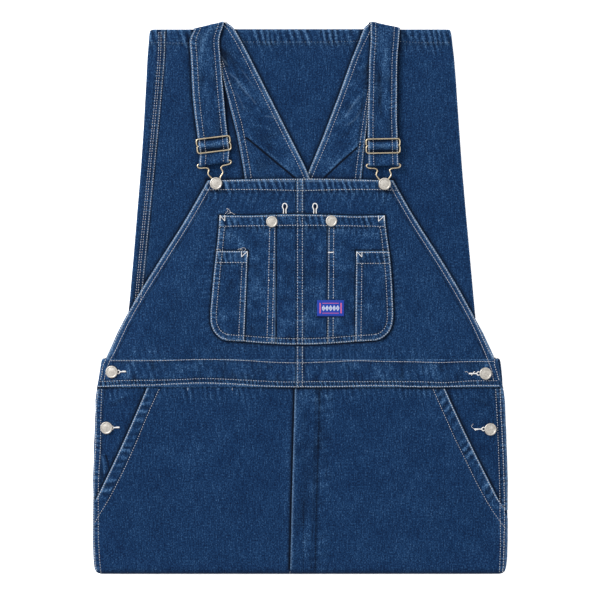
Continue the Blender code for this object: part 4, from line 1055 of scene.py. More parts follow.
def front_marks(side):
    sign = SIGN[side]
    edge = slant_line(side, -104.0, -122.0, -200.0, -277.0)
    seam = BODY.line(side, (-285, -340, -372))
    marks = [
        Pucker(edge, *sorted((-sign * 3.5, -sign * 12.0)), 0.55, 11.5, 91, 0.45, 2.4, 0.70),
        Pale(offset(edge, -sign * 1.5), 1.3, 0.44, seed=4),
        Shade(offset(edge, -sign * 15.6), 1.4, 0.45),
        Fade(offset(edge, -sign * 1.3), 1.8, 0.55, seed=4),
        *under_waistband(2.2),
        Pale(offset(seam, -sign * 1.8), 1.2, 0.30, seed=11),
        Pucker(offset(seam, -sign * 4.0), -3.5, 3.5, 0.16, 6.0, 95, 0.0, 2.0, 0.30),
        *creases(([(150, -140), (140, -200), (152, -270)], 12.0, 0.40, 0.05),
                 ([(90, -135), (84, -190)], 8.0, -0.30, 0.05),
                 ([(200, -230), (190, -300), (196, -350)], 10.0, -0.35, 0.06),
                 sign=sign),
        # Painted shade along the bottom fold, where the cloth turns under.
        Shade(across(-381, 300), 6.0, 0.55)]
    fly = lambda out: shifted(fly_edge, out)
    if side == "l":
        return marks + [*shades((fly_edge, 2.4, 0.9), (fly(-2.5), 2.0, 0.45), (fly(-0.8), 1.5, 1.0)),
                        Crease(fly(-7.0), 5.0, 0.3, 0.10)]
    return marks + [
        Pale(fly(1.1), 1.2, 0.42, 20.0, 7), Fade(fly(2.0), 2.0, 0.50, 26.0, 7),
        Fade(fly(9.0)[:2], 8.0, 0.16, 30.0, 8),
        Mottle(fly_edge, 2.0, 52.0, 30.0, 2.6, 98, 0.13, 0.20, 0.18),
        Mottle(fly_edge, 4.0, 46.0, 10.0, 2.6, 99, 0.13, 0.17, 0.12),
        *shades(([(8, -238), (10, -262), (8, -300)], 7.0, 0.12), (fly(34.6), 2.4, 0.45),
                (fly(29.5), 1.6, 0.30)),
        Pucker(fly(33.0), -4.0, 16.0, 0.18, 13.0, 97, 0.2, 6.0, 0.16),
        Crease(fly(17.0), 6.0, -0.30, 0.14),
        Crease([(8, -310), (7, -345), (6.5, -371)], 2.5, 0.35, 0.20)]


def make_front(side):
    """A front leg: from under the waistband down, round the bottom fold and back under."""
    sign = SIGN[side]
    ys = rows_between(-102.5, FOLD_Y, 2.2, rims=False)
    angles = np.radians(np.linspace(9, 180, 20))
    under = np.linspace(FOLD_Y + 2.5, UNDER_END, 10)
    row_y = np.concatenate([ys, FOLD_Y - NOSE * np.sin(angles), under])
    band_in = lambda y: front_edge(side, y) - sign * 14.6
    centre = lambda y: FLY.at("x", y) - {"l": 0.2, "r": 0.0}[side]
    marks = {"l": (band_in,), "r": (lambda y: FLY.at("x", y) + 34.2, band_in)}[side]
    row = columns_between(*in_order(side, lambda y: front_edge(side, y), centre), 2.2,
                          {"l": 270.0, "r": 285.0}[side], marks, sample=-200.0)
    xs, yy = plan_grid(row_y, row)
    outer = from_outer(side, xs)
    n = len(ys)
    z = soften(top_of((f"front_leg_{side}",), xs[:n], yy[:n]), 2)
    crest = z[-1]
    floor = 0.05 + 1.4 * rim_drop(outer[n:], 6.0) / 6.0
    turn = np.concatenate([angles, np.full(len(under), math.pi)])[:, None]
    lower = (crest + floor) / 2.0 + (crest - floor) / 2.0 * np.cos(turn)
    path = np.concatenate([ys, FOLD_Y - NOSE * angles, FOLD_Y - NOSE * math.pi - (under - FOLD_Y)])
    flat_y = np.repeat(path[:, None], xs.shape[1], axis=1)

    reliefs = front_marks(side)
    dz, wear_and_highlight, painted_shade_and_blots = relief_of(reliefs, xs, flat_y)
    dz += 0.10 * field(xs, flat_y, 24.0, 11) + 0.20 * field(xs + 40.0, flat_y, 66.0, 12)
    dz *= np.where(yy > FOLD_Y, 1.0, np.clip((flat_y - (FOLD_Y - 4.0)) / 8.0, 0.0, 1.0))
    on_top = np.ones(len(row_y))
    on_top[n:] = np.clip(1.0 - np.arange(len(row_y) - n) / 8.0, 0.0, 1.0)
    dz -= np.where(yy > SLANT_END, rim_drop(outer), 0.0) * on_top[:, None]
    wear_and_highlight += 0.45 * np.exp(-(outer / 1.6) ** 2)
    if side == "r":
        dz -= rim_drop(xs - xs[:, :1]) * on_top[:, None]
    points = np.stack([xs, yy, np.concatenate([z, lower]) + dz], axis=2)
    leg = grid_object(f"front_leg_{WORDS[side]}", points, np.stack([xs, flat_y], axis=2),
                      marks_of(reliefs, xs, flat_y, wear_and_highlight, painted_shade_and_blots), denim, 0.9)
    return settle(leg, f"front_leg_{side}")


def make_facing(side):
    """The cloth behind the slanted pocket's opening."""
    sign = SIGN[side]
    ys = rows_between(-102.5, -292.0, 1.9, rims=False)
    outer = lambda y: BODY.at(side, y)
    farther = {"l": max, "r": min}[side]
    inner = lambda y: farther(slanted(side, y) - sign, outer(y) - sign * 4.2)
    row = columns_between(*in_order(side, outer, inner), 1.9, {"l": 70.0, "r": 78.0}[side],
                          sample=-160.0)
    edge = slant_line(side, -104.0, -122.0, -200.0, -277.0)
    seam = BODY.line(side, (-110, -146, -245, -290))
    reliefs = [
        *shades((edge, 4.0, 0.80), (offset(edge, sign * 0.4), 1.5, 1.0)),
        *under_waistband(2.4),
        Pale(offset(seam, -sign * 1.8), 1.2, 0.30, seed=11),
        Pucker(offset(seam, -sign * 4.5), -4.5, 4.5, 0.20, 6.2, 101, 0.0, 2.0, 0.40),
        Fade(offset(seam, -sign * 1.6), 2.2, 0.32, seed=3),
        Shade(offset(seam, -sign * 10.6), 1.6, 0.55),
        *creases(([(262, -148), (246, -136), (232, -128)], 3.0, 0.45, 0.25),
                 ([(268, -152), (250, -142), (236, -136)], 2.6, -0.45, 0.35),
                 sign=sign)]
    if side == "l":
        reliefs += [
            Crease([(-274.5, -212), (-271.5, -224), (-269.4, -236), (-269.8, -250)], 1.8,
                   0.60, 0.55),
            Shade([(-275.2, -222), (-273.4, -234), (-272.4, -246)], 1.5, 0.70),
            Shade([(-267.8, -217), (-265.4, -226), (-263.4, -234)], 1.9, 0.80)]
    return panel(f"hip_facing_{WORDS[side]}", (f"hip_facing_{side}",), ys, row, reliefs, denim_dark,
                 wall=0.8, passes=3, rims=side)


def make_extension(side):
    """The back waist's corner past the front's side."""
    sign = SIGN[side]
    ys = rows_between(-82.8, -124.5, 1.8)
    most, end = {"l": (1, 0.4), "r": (3.4, 0.7)}[side]
    reach = lambda y: most + (end - most) * ((-82.5 - y) / 42.5) ** 2
    corner = lambda y: 2.2 * np.clip((y + 85.6) / 2.8, 0.0, 1.0) ** 2
    edge = lambda y: BODY.at(side, y) + sign * (0.6 + reach(y) - corner(y))
    inner = lambda y: BODY.at(side, y) - sign * 7.0
    xs, yy = plan_grid(ys, columns_between(*in_order(side, edge, inner), 1.6, 11.0, sample=-100.0))
    off = from_outer(side, xs)
    z = 6.2 - 0.12 * off - rim_drop(off) - rim_drop(yy[0] - yy)
    wear_and_highlight = 0.45 * np.exp(-(off / 1.3) ** 2)
    # Painted shade in a line 4.6 mm in from the outer edge, under the front's side.
    painted_shade_and_blots = 0.8 * np.exp(-((off - 4.6) / 1.6) ** 2)
    obj = grid_object(f"back_waist_{WORDS[side]}", np.stack([xs, yy, z], axis=2),
                      np.stack([yy, xs], axis=2), marks_of((), xs, yy, wear_and_highlight, painted_shade_and_blots),
                      denim_dark, 1.1)
    return settle(obj, f"back_extension_{side}")


# ---------------------------------------------------------------- cloth: back bib

DARTS = {"l": [(-73.1, 221.5), (-40, 194), (-6.9, 166.3)],
         "r": [(82.8, 211.8), (56, 188), (33.1, 166.3)]}
BACK_CORNERS = {"l": ((-101.5, 381.8), (-89.8, 372.4)), "r": ((88.6, 373.3), (97, 382.4))}
BACK_WRINKLES = {
    "l": [
        Crease([(-98, 318), (-82, 296), (-66, 280)], 2.6, 0.45, 0.40),
        Crease([(-92, 330), (-76, 312)], 2.4, -0.35, 0.30),
        Crease([(-88, 276), (-70, 258), (-56, 240)], 3.4, 0.35, 0.25),
        Crease([(-72, 250), (-58, 232)], 3.0, 0.35, 0.25),
        Crease([(-112, 352), (-104, 330), (-100, 310)], 3.0, -0.5, 0.60),
        Crease([(-40, 232), (-18, 214)], 4.0, 0.30, 0.20),
        Pale([(-108.6, 334.2), (-104, 328), (-100.3, 322.8)], 0.9, 0.26, 5.0),
        Pale([(-98.8, 311.5), (-88.2, 303.9), (-80.6, 291.7), (-68.4, 278.1), (-62, 270)],
             0.9, 0.26, 7.0),
        Pale([(-80.6, 316), (-68.4, 299.3), (-60.9, 290.2)], 0.8, 0.16, 6.0),
        Pale([(-89.7, 287), (-83.6, 277), (-78, 262)], 0.9, 0.16, 6.0),
        Pale([(-46.9, 251.9), (-38.6, 251), (-33.7, 248.5)], 0.9, 0.24, 5.0),
        Fade([(-62, 246), (-54, 237), (-40, 233.6)], 1.6, 0.34),
        Shade([(-101.8, 341), (-92, 325), (-86, 308)], 2.6, 0.45),
        Shade([(-92.5, 303), (-84, 293), (-74, 280)], 1.8, 0.35)],
    "r": [
        Crease([(92, 290), (78, 272), (66, 262)], 2.8, 0.40, 0.30),
        Crease([(84, 250), (62, 240), (46, 236)], 3.4, 0.35, 0.25),
        Crease([(70, 228), (52, 224)], 3.0, -0.30, 0.25),
        Crease([(96, 330), (88, 306)], 3.0, -0.4, 0.50),
        Fade([(81.1, 278.4), (72, 266), (63.5, 251.9)], 2.0, 0.20),
        Pale([(81.1, 278.4), (72, 266), (63.5, 251.9)], 0.9, 0.24, 6.0),
        Pale([(86, 262), (76, 247), (66, 240)], 0.8, 0.16, 6.0),
        Fade([(74, 262), (60, 248), (50, 240)], 2.2, 0.30),
        Shade([(88, 268), (78, 252), (70, 240)], 2.0, 0.35),
        Shade([(-20, 236), (11, 177.3), (20, 158)], 3.2, 0.9)]}


def make_back_bib(side):
    sign = SIGN[side]
    table = BACK_BIB[side]
    ys = rows_between(381.5, 137.0, 1.7, rims=False)
    row = columns_between(*in_order(side, lambda y: table.at("outer", y),
                                    lambda y: table.at("inner", y)), 1.7, 64.0,
                          (lambda y: table.at("inner", y) + sign * 8.6,), sample=230.0)
    inner = table.line("inner", (380, 372, 350, 334.7, 281, 225, 186, 150))
    outer = table.line("outer", (372, 350, 334.7, 315, 281, 225, 186, 150))
    strap_side = strap_edges(side)[1 if side == "l" else 0]
    dart = DARTS[side]
    band = sorted((-sign * 6.0, sign * 60.0))
    reliefs = [
        *beside(Fade, inner, (1.6, 2.2, 0.60, 9, 4), (4.5, 3, 0.18, 12, 5), sign=sign),
        *beside(Pale, inner, (1.5, 1.5, 0.42, 9, 4), sign=sign),
        *beside(Pale, outer, (-1.4, 1.3, 0.34, 9, 6), sign=sign),
        *beside(Shade, inner, (-9.8, 1.3, 0.50), sign=sign),
        *beside(Shade, outer, (-9.6, 1.4, 0.45), sign=sign),
        *beside(Pucker, inner, (-4, -4, 4, 0.12, 6.4, 111, 0.3, 1.8, 0.25), sign=sign),
        *beside(Pucker, outer, (-4.5, -4, 4, 0.14, 6, 113, 0.3, 2, 0.28), sign=sign),
        Fade(outer, 1.9, 0.50, 9.0, 6), Fade(offset(dart, -3.2 * sign), 1.5, 0.50, 20.0, 3),
        *shades((dart, 1.45, 1.5), (strap_side, 1.6, 0.95), (strap_side, 3.2, 0.60),
                (bib_top, 1.3, 0.9), (bib_top, 5.0, 0.95)),
        Mottle(inner, *band, 26.0, 1.0, 115, 0.20, 0.24, 0.25),
        Mottle(inner, *band, 9.0, 1.0, 117, 0.18, 0.18, 0.10),
        *BACK_WRINKLES[side]]

    def keep(x, y):
        """What lies below the strap's fold and the rounded corner."""
        below = np.ones(x.shape, bool)
        for ((x0, y0), (x1, y1)), inset in ((STRAP_FOLDS[side], 0.8), (BACK_CORNERS[side], -0.2)):
            cross = (x1 - x0) * (y - y0) - (y1 - y0) * (x - x0)
            below &= cross / math.hypot(x1 - x0, y1 - y0) < -inset
        return below

    return panel(f"back_bib_{WORDS[side]}", (f"back_bib_{side}",), ys, row, reliefs, denim_worn,
                 rims="lr", grain=sign * -26.0, keep=keep)


# ---------------------------------------------------------------- cloth: straps

STRAP_WALL = 1.6
STRAP_Z = 9.9
STRAP_WIDTH = 41.6
STRAP_HALF = STRAP_WIDTH / 2.0
STRAP_FOLD_R = 1.6
SLIDER_Z = 12.2
SLIDER_SPAN = 19.5
SLIDER_HALF = 23.2
SLIDERS = {"l": (-119.2, 212.4, 7), "r": (114.6, 210.5, 1)}
STRAP_FOLDS = {"l": ((-147.2, 372.6), (-105.2, 382.6)), "r": ((97.6, 382.6), (138.6, 373.8))}
STRAP_ROWS = {
    "l": ((-152.4, 357, -110.9, 359, 10.7), (-151, 332, -109.7, 334, 10.1),
          (-148.4, 280.0, -105.3, 282.0, STRAP_Z), (-144.8, 247.0, -102.4, 249.5, STRAP_Z)),
    "r": ((97.4, 358, 136.8, 355, 10.7), (95.6, 330, 134.8, 330, 10.1),
          (94.4, 280.0, 134.2, 280.0, STRAP_Z), (93.6, 247.0, 134.2, 247.0, STRAP_Z))}
SLIDER_WAVE = 1.2 + 0.3 + STRAP_WALL / 2.0      # how far the strap weaves up and down
CLASPS = {"l": (1, 1, 7.8), "r": (-1.2, -1, 0.7)}
CLASP_BAR_Y = 28.6
CLASP_Z = 12.8
STRAP_END_Z = 10.6
STRAP_TAIL = 6.0
LOOP_R = 2.2


def turned_frame(x, y, degrees):
    """A place in plan with its axes across and up, turned."""
    turn = math.radians(degrees)
    right = np.array((math.cos(turn), math.sin(turn)))
    return np.array((x, y)), right, np.array((-right[1], right[0]))


def clasp_frame(side):
    shift_x, shift_y, degrees = CLASPS[side]
    x, y = BIB_BUTTONS[side]
    return turned_frame(x + shift_x, y + shift_y, degrees)


def strap_rows(side):
    """The strap's left and right ends, row by row, as in the part."""
    rows = []
    left, right = (np.array(p) for p in STRAP_FOLDS[side])
    along = (right - left) / np.hypot(*(right - left))
    out = np.array((-along[1], along[0]))
    for turn in np.radians(np.arange(180, -1, -30)):
        shift = out * (STRAP_FOLD_R * (math.sin(turn) - 1.0) - STRAP_WALL / 2.0)
        rows.append((left + shift, right + shift, 9.1 + STRAP_FOLD_R * (1.0 + math.cos(turn))))
    rows += [(np.array((x0, y0)), np.array((x1, y1)), z) for x0, y0, x1, y1, z in STRAP_ROWS[side]]

    def add_row(middle, z):
        rows.append((middle - right * STRAP_HALF, middle + right * STRAP_HALF, z))

    centre, right, up = turned_frame(*SLIDERS[side])
    for share in (0, 0.12, 0.25, 0.38, 0.5, 0.62, 0.75, 0.88, 1):
        add_row(centre + up * (0.5 - share) * SLIDER_SPAN,
                SLIDER_Z - SLIDER_WAVE * math.cos(2.0 * math.pi * share))
    origin, right, up = clasp_frame(side)
    bar = origin + up * CLASP_BAR_Y
    for turn in np.radians(np.arange(0, 181, 30)):
        add_row(bar - up * LOOP_R * math.sin(turn), STRAP_END_Z + LOOP_R * math.cos(turn))
    add_row(bar + up * STRAP_TAIL, STRAP_END_Z - LOOP_R)
    return rows


def strap_edges(side):
    """The strap's two edges in plan, from the shoulder fold to the slider."""
    rows = strap_rows(side)[3:20]
    return [tuple(row[0]) for row in rows], [tuple(row[1]) for row in rows]


def smooth_path(points, pitch):
    """A smooth line through points, sampled about every pitch."""
    points = np.array(points, float)
    ends = np.vstack([2.0 * points[0] - points[1], points, 2.0 * points[-1] - points[-2]])
    out = []
    for a, b, c, d in zip(ends, ends[1:], ends[2:], ends[3:]):
        ab, bc, cd = (max(np.linalg.norm(q - p), 1e-6) ** 0.5 for p, q in ((a, b), (b, c), (c, d)))
        m1 = bc * ((b - a) / ab - (c - a) / (ab + bc) + (c - b) / bc)
        m2 = bc * ((c - b) / bc - (d - b) / (bc + cd) + (d - c) / cd)
        count = max(1, round(np.linalg.norm(c - b) / pitch))
        for t in np.linspace(0.0, 1.0, count, endpoint=False):
            out.append((2 * t ** 3 - 3 * t ** 2 + 1) * b + (t ** 3 - 2 * t ** 2 + t) * m1
                       + (3 * t ** 2 - 2 * t ** 3) * c + (t ** 3 - t ** 2) * m2)
    return np.array(out + [points[-1]])


def strap_marks(side):
    """The strap's marks on its flat shape: its width across, its length up."""
    full = lambda x: upright(x, 0.0, 400.0)
    seed = ord(side)
    marks = [
        Pucker(full(4.8), -4.4, 4.4, 0.14, 6.2, 121 + seed, 0.3, 2.0, 0.28),
        Pucker(full(36.8), -4.4, 4.4, 0.14, 6.0, 122 + seed, -0.3, 2.0, 0.28),
        Fade(full(1.4), 1.9, 0.55, 9.0, 4), Fade(full(40.2), 1.9, 0.55, 9.0, 5),
        Pale(full(1.5), 1.3, 0.40, 9.0, 4), Pale(full(40.1), 1.3, 0.40, 9.0, 5),
        Shade(full(9.8), 1.1, 0.40), Shade(full(31.8), 1.1, 0.40),
        # A paler band near the shoulder fold: painted highlight.
        Fade(upright(20, 0, 60), 12.0, 0.12, seed=6),
        Mottle(full(STRAP_HALF), -14.0, 14.0, 22.0, 1.6, 125, 0.22, 0.28, 0.14),
        *creases(([(22, 70), (19, 100), (22, 130)], 4.0, 0.18, 0.22),
                 ([(14, 60), (13, 100)], 3.0, -0.15, 0.25),
                 ([(29, 20), (27, 55), (30, 90)], 3.5, 0.15, 0.15))]
    if side == "l":
        return marks + creases(
            ([(26, -20), (23.5, 12), (17, 37), (11.5, 60), (10.5, 100)], 3.2, 0.50,
             0.42),
            ([(19, 8), (14, 30), (8, 52)], 3.0, -0.30, 0.35))
    return marks + creases(([(14, 40), (16, 90), (13, 135)], 3.6, -0.30, 0.45),
                           ([(24, 20), (22, 90)], 3.0, 0.30, 0.35),
                           ([(27, 70), (25, 105), (29, 140)], 2.4, 0.35, 0.40),
                           ([(20, 84), (17, 110), (21, 142)], 2.2, -0.30, 0.50),
                           ([(11.5, 66), (12.5, 100)], 2.0, 0.25, 0.30))


strap_grids = {}


def make_strap(side):
    """A strap from the shoulder fold, through the slider and round the clasp's bar."""
    path = smooth_path([(*left, z, *right, z) for left, right, z in strap_rows(side)], 1.5)
    left, right = path[:, :3], path[:, 3:]
    share = spread([0.0, 0.35, 0.9, 1.8, 8.6, 9.8, 31.8, 33.0, 39.8, 40.7, 41.25, STRAP_WIDTH],
                   [1, 1, 1, 4, 1, 12, 1, 4, 1, 1, 1]) / STRAP_WIDTH
    points = left[:, None] + (right - left)[:, None] * share[None, :, None]
    step = np.linalg.norm(np.diff(left + right, axis=0) / 2.0, axis=1)
    along = np.concatenate([[0.0], np.cumsum(step)])
    width, along = np.meshgrid(share * STRAP_WIDTH, along)
    marks = strap_marks(side)
    dz, wear_and_highlight, painted_shade_and_blots = relief_of(marks, width, along)
    edge = np.minimum(width, STRAP_WIDTH - width)
    raised = 0.18 * np.exp(-((edge - 4.5) / 3.6) ** 4)
    normal = np.cross(np.gradient(points, axis=1), np.gradient(points, axis=0))
    normal /= np.linalg.norm(normal, axis=2, keepdims=True)
    if normal[len(normal) // 3, 5, 2] < 0.0:
        normal = -normal
    count = len(path)
    hard = np.clip((count - 24 - np.arange(count)) / 12.0, 0.15, 1.0)[:, None]
    outer = points + normal * (STRAP_WALL / 2.0 + (raised + dz) * hard)[..., None]
    outer = outer - normal * rim_drop(edge, 0.8)[..., None]
    centre, _, up = turned_frame(*SLIDERS[side])
    rise = (points[..., 0] - centre[0]) * up[0] + (points[..., 1] - centre[1]) * up[1]
    # Painted highlight on the strap's hump between the slider's bars.
    wear_and_highlight += 0.50 * np.exp(-(rise / 3.0) ** 2)
    # Painted shade beside the slider's wires and at two places towards the strap's end, near the
    # clasp.
    for off, depth, reach in ((rise + 7.2, 0.75, 2.0), (rise - 7.2, 0.75, 2.0),
                              (along - along[-31], 0.55, 3.0), (along - along[-45], 0.55, 2.2)):
        painted_shade_and_blots += depth * np.exp(-(off / reach) ** 2)
    strap_grids[side] = (outer, normal)
    obj = grid_object(f"strap_{WORDS[side]}", outer, np.stack([width, along], axis=2),
                      marks_of(marks, width, along, wear_and_highlight, painted_shade_and_blots), denim_worn, STRAP_WALL - 0.1)
    return settle(obj, f"strap_{side}")


# ---------------------------------------------------------------- hidden layers

def make_core():
    """The middle of the folded layers, a little inside their edges."""
    source = nodes["hidden_layers"].data
    x, y, z = np.array([v.co for v in source.vertices]).T / MM
    y = np.where(y > 0.0, y * (1.0 - 2.6 / 371.0), y * 0.995)
    verts = np.stack([x * (1.0 - 2.6 / 285.0), y, 0.15 + z * 0.965], axis=1)
    faces = [tuple(p.vertices) for p in source.polygons]
    obj = add_mesh("inner_layers", verts, faces, denim_dark, smooth=False)
    put_attribute(obj.data, "wear_and_highlight", np.zeros(len(verts)))
    # Painted shade all over the hidden layers.
    put_attribute(obj.data, "painted_shade_and_blots", np.full(len(verts), 0.55))
    put_grain(obj.data, verts[:, :2])
    return settle(obj, "hidden_layers")


LAYER_REACH = 5.0         # how far in a layer's rounded edge goes


def make_layer_edges(name, outline, layers, inset, seed):
    """Rounded folds of the hidden layers, stacked along an outline that runs with the cloth on
    its right."""
    path = smooth_path(outline, 4.0)
    tangent = np.gradient(path, axis=0)
    tangent /= np.linalg.norm(tangent, axis=1, keepdims=True)
    outwards = np.stack([-tangent[:, 1], tangent[:, 0]], axis=1)
    sample = path - outwards * (inset + 3.4)
    height = soften(top_of(("hidden_layers",), sample[:, :1], sample[:, 1:]), 3)[:, 0]
    t = np.concatenate([[0.0], np.cumsum(np.linalg.norm(np.diff(path, axis=0), axis=1))])
    turns = np.radians(np.linspace(90, -90, 9))
    ring = [(-LAYER_REACH, 1.0), *((math.cos(a) * 1.3 - 1.3, math.sin(a)) for a in turns),
            (-LAYER_REACH, -1.0)]
    half = height / layers / 2.0 * 0.97
    verts, faces, grain, wear_and_highlight = [], [], [], []
    for k in range(layers):
        middle = height * (k + 0.5) / layers
        wobble = inset + 0.35 + 0.35 * wander(t, 34.0, seed + k) + 0.25 * wander(t, 9.0, seed + 9 + k)
        shape = len(path), len(ring), len(verts)
        for i, (place, outward) in enumerate(zip(path, outwards)):
            for out, up in ring:
                x, y = place + outward * (out - wobble[i])
                verts.append((x, y, max(middle[i] + up * half[i], 0.05)))
                grain.append((t[i], out + up * 2.0))
                wear_and_highlight.append(0.30 if out > -1.2 else 0.0)
        faces += ring_faces(*shape) + caps(*shape)
    obj = add_mesh(name, verts, faces, denim_dark)
    put_attribute(obj.data, "wear_and_highlight", wear_and_highlight)
    # A little painted shade on the layers' folded edges.
    put_attribute(obj.data, "painted_shade_and_blots", np.full(len(verts), 0.10))
    put_grain(obj.data, grain)
    return settle(obj)


# ---------------------------------------------------------------- stitches

STITCH_SIDES = 5
STITCH_SHAPE = np.array((0.45, 0.9, 1, 0.9, 0.45))
STITCH_ARC = np.array((-0.30, 0.12, 0.24, 0.12, -0.30))


def lay(line, pitch=1.0, lift=0.0):
    """Points of a plan line on the topmost cloth, with the normals there."""
    points, normals = [], []
    for x, y in smooth_path(line, pitch):
        hit, normal, _, _ = stitch_tree.ray_cast(Vector((x, y, ABOVE)), DOWN)
        if hit is not None:
            points.append((hit.x, hit.y, hit.z + lift))
            normals.append(normal if normal.z > 0.0 else -normal)
    return np.array(points), np.array(normals)


def unit(vector):
    return vector / max(np.linalg.norm(vector), 1e-9)


class Sewing:
    """Collects stitches into one mesh."""

    def __init__(self, seed):
        self.random = np.random.default_rng(seed)
        self.verts, self.faces, self.tone = [], [], []

    def tube(self, points, normals, radius, flat=0.7, tone=0.3):
        """A tapered thread along points, flattened against the cloth."""
        shape = len(points), STITCH_SIDES, len(self.verts)
        for place, tangent, normal, size in zip(points, np.gradient(points, axis=0), normals, radius):
            along = unit(tangent)
            up = unit(normal - along * np.dot(normal, along))
            side = np.cross(along, up)
            for j in range(STITCH_SIDES):
                turn = 2.0 * math.pi * j / STITCH_SIDES
                self.verts.append(place + side * math.cos(turn) * size
                                  + up * math.sin(turn) * size * flat)
                self.tone.append(tone)
        self.faces += ring_faces(*shape) + caps(*shape)

    def row(self, points, normals, width, pitch, share, warm, sway):
        """Stitches along a line that already lies on the cloth."""
        step = np.linalg.norm(np.diff(points, axis=0), axis=1)
        s = np.concatenate([[0.0], np.cumsum(step)])
        count = max(1, round(s[-1] / pitch))
        pitch = s[-1] / count
        for k in range(count):
            jitter = self.random.normal(0, 0.05, 3)
            a = (k + 0.5 - share / 2.0 + jitter[0] * 0.5) * pitch
            b = (k + 0.5 + share / 2.0 + jitter[1] * 0.5) * pitch
            at = np.linspace(max(a, 0.0), min(b, s[-1]), 5)
            place, up = (np.stack([np.interp(at, s, values[:, c]) for c in range(3)], axis=1)
                         for values in (points, normals))
            up /= np.linalg.norm(up, axis=1, keepdims=True)
            side = np.cross(unit(place[-1] - place[0]), up[2])
            swing = self.random.normal(0.0, sway, 2)
            place = place + side * np.linspace(*swing, 5)[:, None] + up * (STITCH_ARC * width)[:, None]
            size = width / 2.0 * (1.0 + self.random.normal(0, 0.07))
            tone = float(np.clip(warm + self.random.normal(0, 0.22), 0.0, 1.0))
            self.tube(place, up, size * STITCH_SHAPE, 0.72, tone)

    def rows(self, style, *lines):
        """Stitches along lines in plan, laid on the cloth."""
        for line in lines:
            points, normals = lay(line)
            if len(points) > 3:
                self.row(points, normals, **style)

    def bar(self, start, end, width):
        """A bartack: a thick short bar of close zigzag thread."""
        points, normals = lay([start, end], 0.4)
        k = np.arange(len(points))
        taper = np.clip(np.minimum(k, k[::-1]) / 2.0 + 0.4, 0.0, 1.0)
        ripple = 1.0 + 0.12 * np.cos(k * 2.1)
        self.tube(points + normals * 0.3, normals, width / 2.0 * taper * ripple, 0.8, 0.05)

    def cord(self, line, pitch, radius, flat, tone, lift=0.0):
        """A plain thread of one thickness."""
        points, normals = lay(line, pitch, lift)
        self.tube(points, normals, np.full(len(points), radius), flat, tone)

    def finish(self, name, material):
        obj = add_mesh(name, self.verts, self.faces, material)
        put_attribute(obj.data, "tone", self.tone)
        return obj


def style(width, pitch, share, warm, sway):
    """How a row is sewn: thickness, length of a stitch with its gap, the stitch's share of that,
    mean tone, and how far the ends stray."""
    return {"width": width, "pitch": pitch, "share": share, "warm": warm, "sway": sway}


EDGE = style(1.10, 3.4, 0.68, 0.15, 0.16)
FINE = style(0.84, 3.5, 0.62, 0.45, 0.06)
PLAIN = style(0.92, 3.6, 0.68, 0.35, 0.08)
LINE = style(0.72, 3.6, 0.96, 0.55, 0.05)
FAINT = style(0.56, 4.3, 0.46, 0.35, 0.10)
NAVY = style(0.90, 3.6, 0.70, 0.50, 0.12)


def sew_hem():
    work = Sewing(211)
    work.rows(FAINT, [(-207, 354.8), (-176, 353.5), (-150, 353.4)],
              [(-82, 354.7), (40, 354.6), (70, 355.5), (84, 355.6)],
              [(137, 355.8), (171, 354), (208, 354.6)])
    return work.finish("stitching_hem", thread_faint)


def sew_legs():
    work = Sewing(201)
    work.rows(FINE, *([(x + 1.1, 369.6), (x, 331.0), (x - 32.0 - bend, -6.0)]
                      for x, bend in ((-196.4, 0), (-193.3, 0.2), (-188.2, 0.3))))
    return work.finish("stitching_legs", thread)


BIB_ENDS = {
    "l": ([(-262.6, -73), (-269.1, -86.3), (-272.4, -94.5), (-273.7, -105.6), (-275.6, -113)],
          [(-255.4, -73), (-263.6, -89), (-269.1, -107), (-270.5, -113)]),
    "r": ([(261.4, -73), (268.4, -83.5), (268.6, -91.8), (271.9, -102.8), (274.4, -113)],
          [(254.6, -73), (260.8, -89), (264.3, -98.7), (267, -113)])}


def sew_bib():
    work = Sewing(202)
    for side, (outer, inner) in BIB_ENDS.items():
        upper = [p for p in bib_line[side] if p[1] > -60.0]
        work.rows(EDGE, offset(upper, -SIGN[side] * 1.9) + outer)
        work.rows(LINE, offset(upper, -SIGN[side] * 7.6) + inner)
    work.rows(EDGE, [(-124.5, 162), (-82, 162.9), (-41, 164), (43, 164.2), (84, 162.9),
                     (126, 162)])
    work.rows(PLAIN, [(-132, 150.2), (-55, 150.3), (0, 149.1), (57, 150.3), (95, 150.4),
                      (134, 149.6)])
    for x in (-3.3, 3.3):
        work.rows(PLAIN, upright(x, 164.6, 118.0), upright(x, 115.6, -62.6),
                  upright(x, -65.6, -84.0), upright(x, -84.6, -121.8))
    return work.finish("stitching_bib", thread)


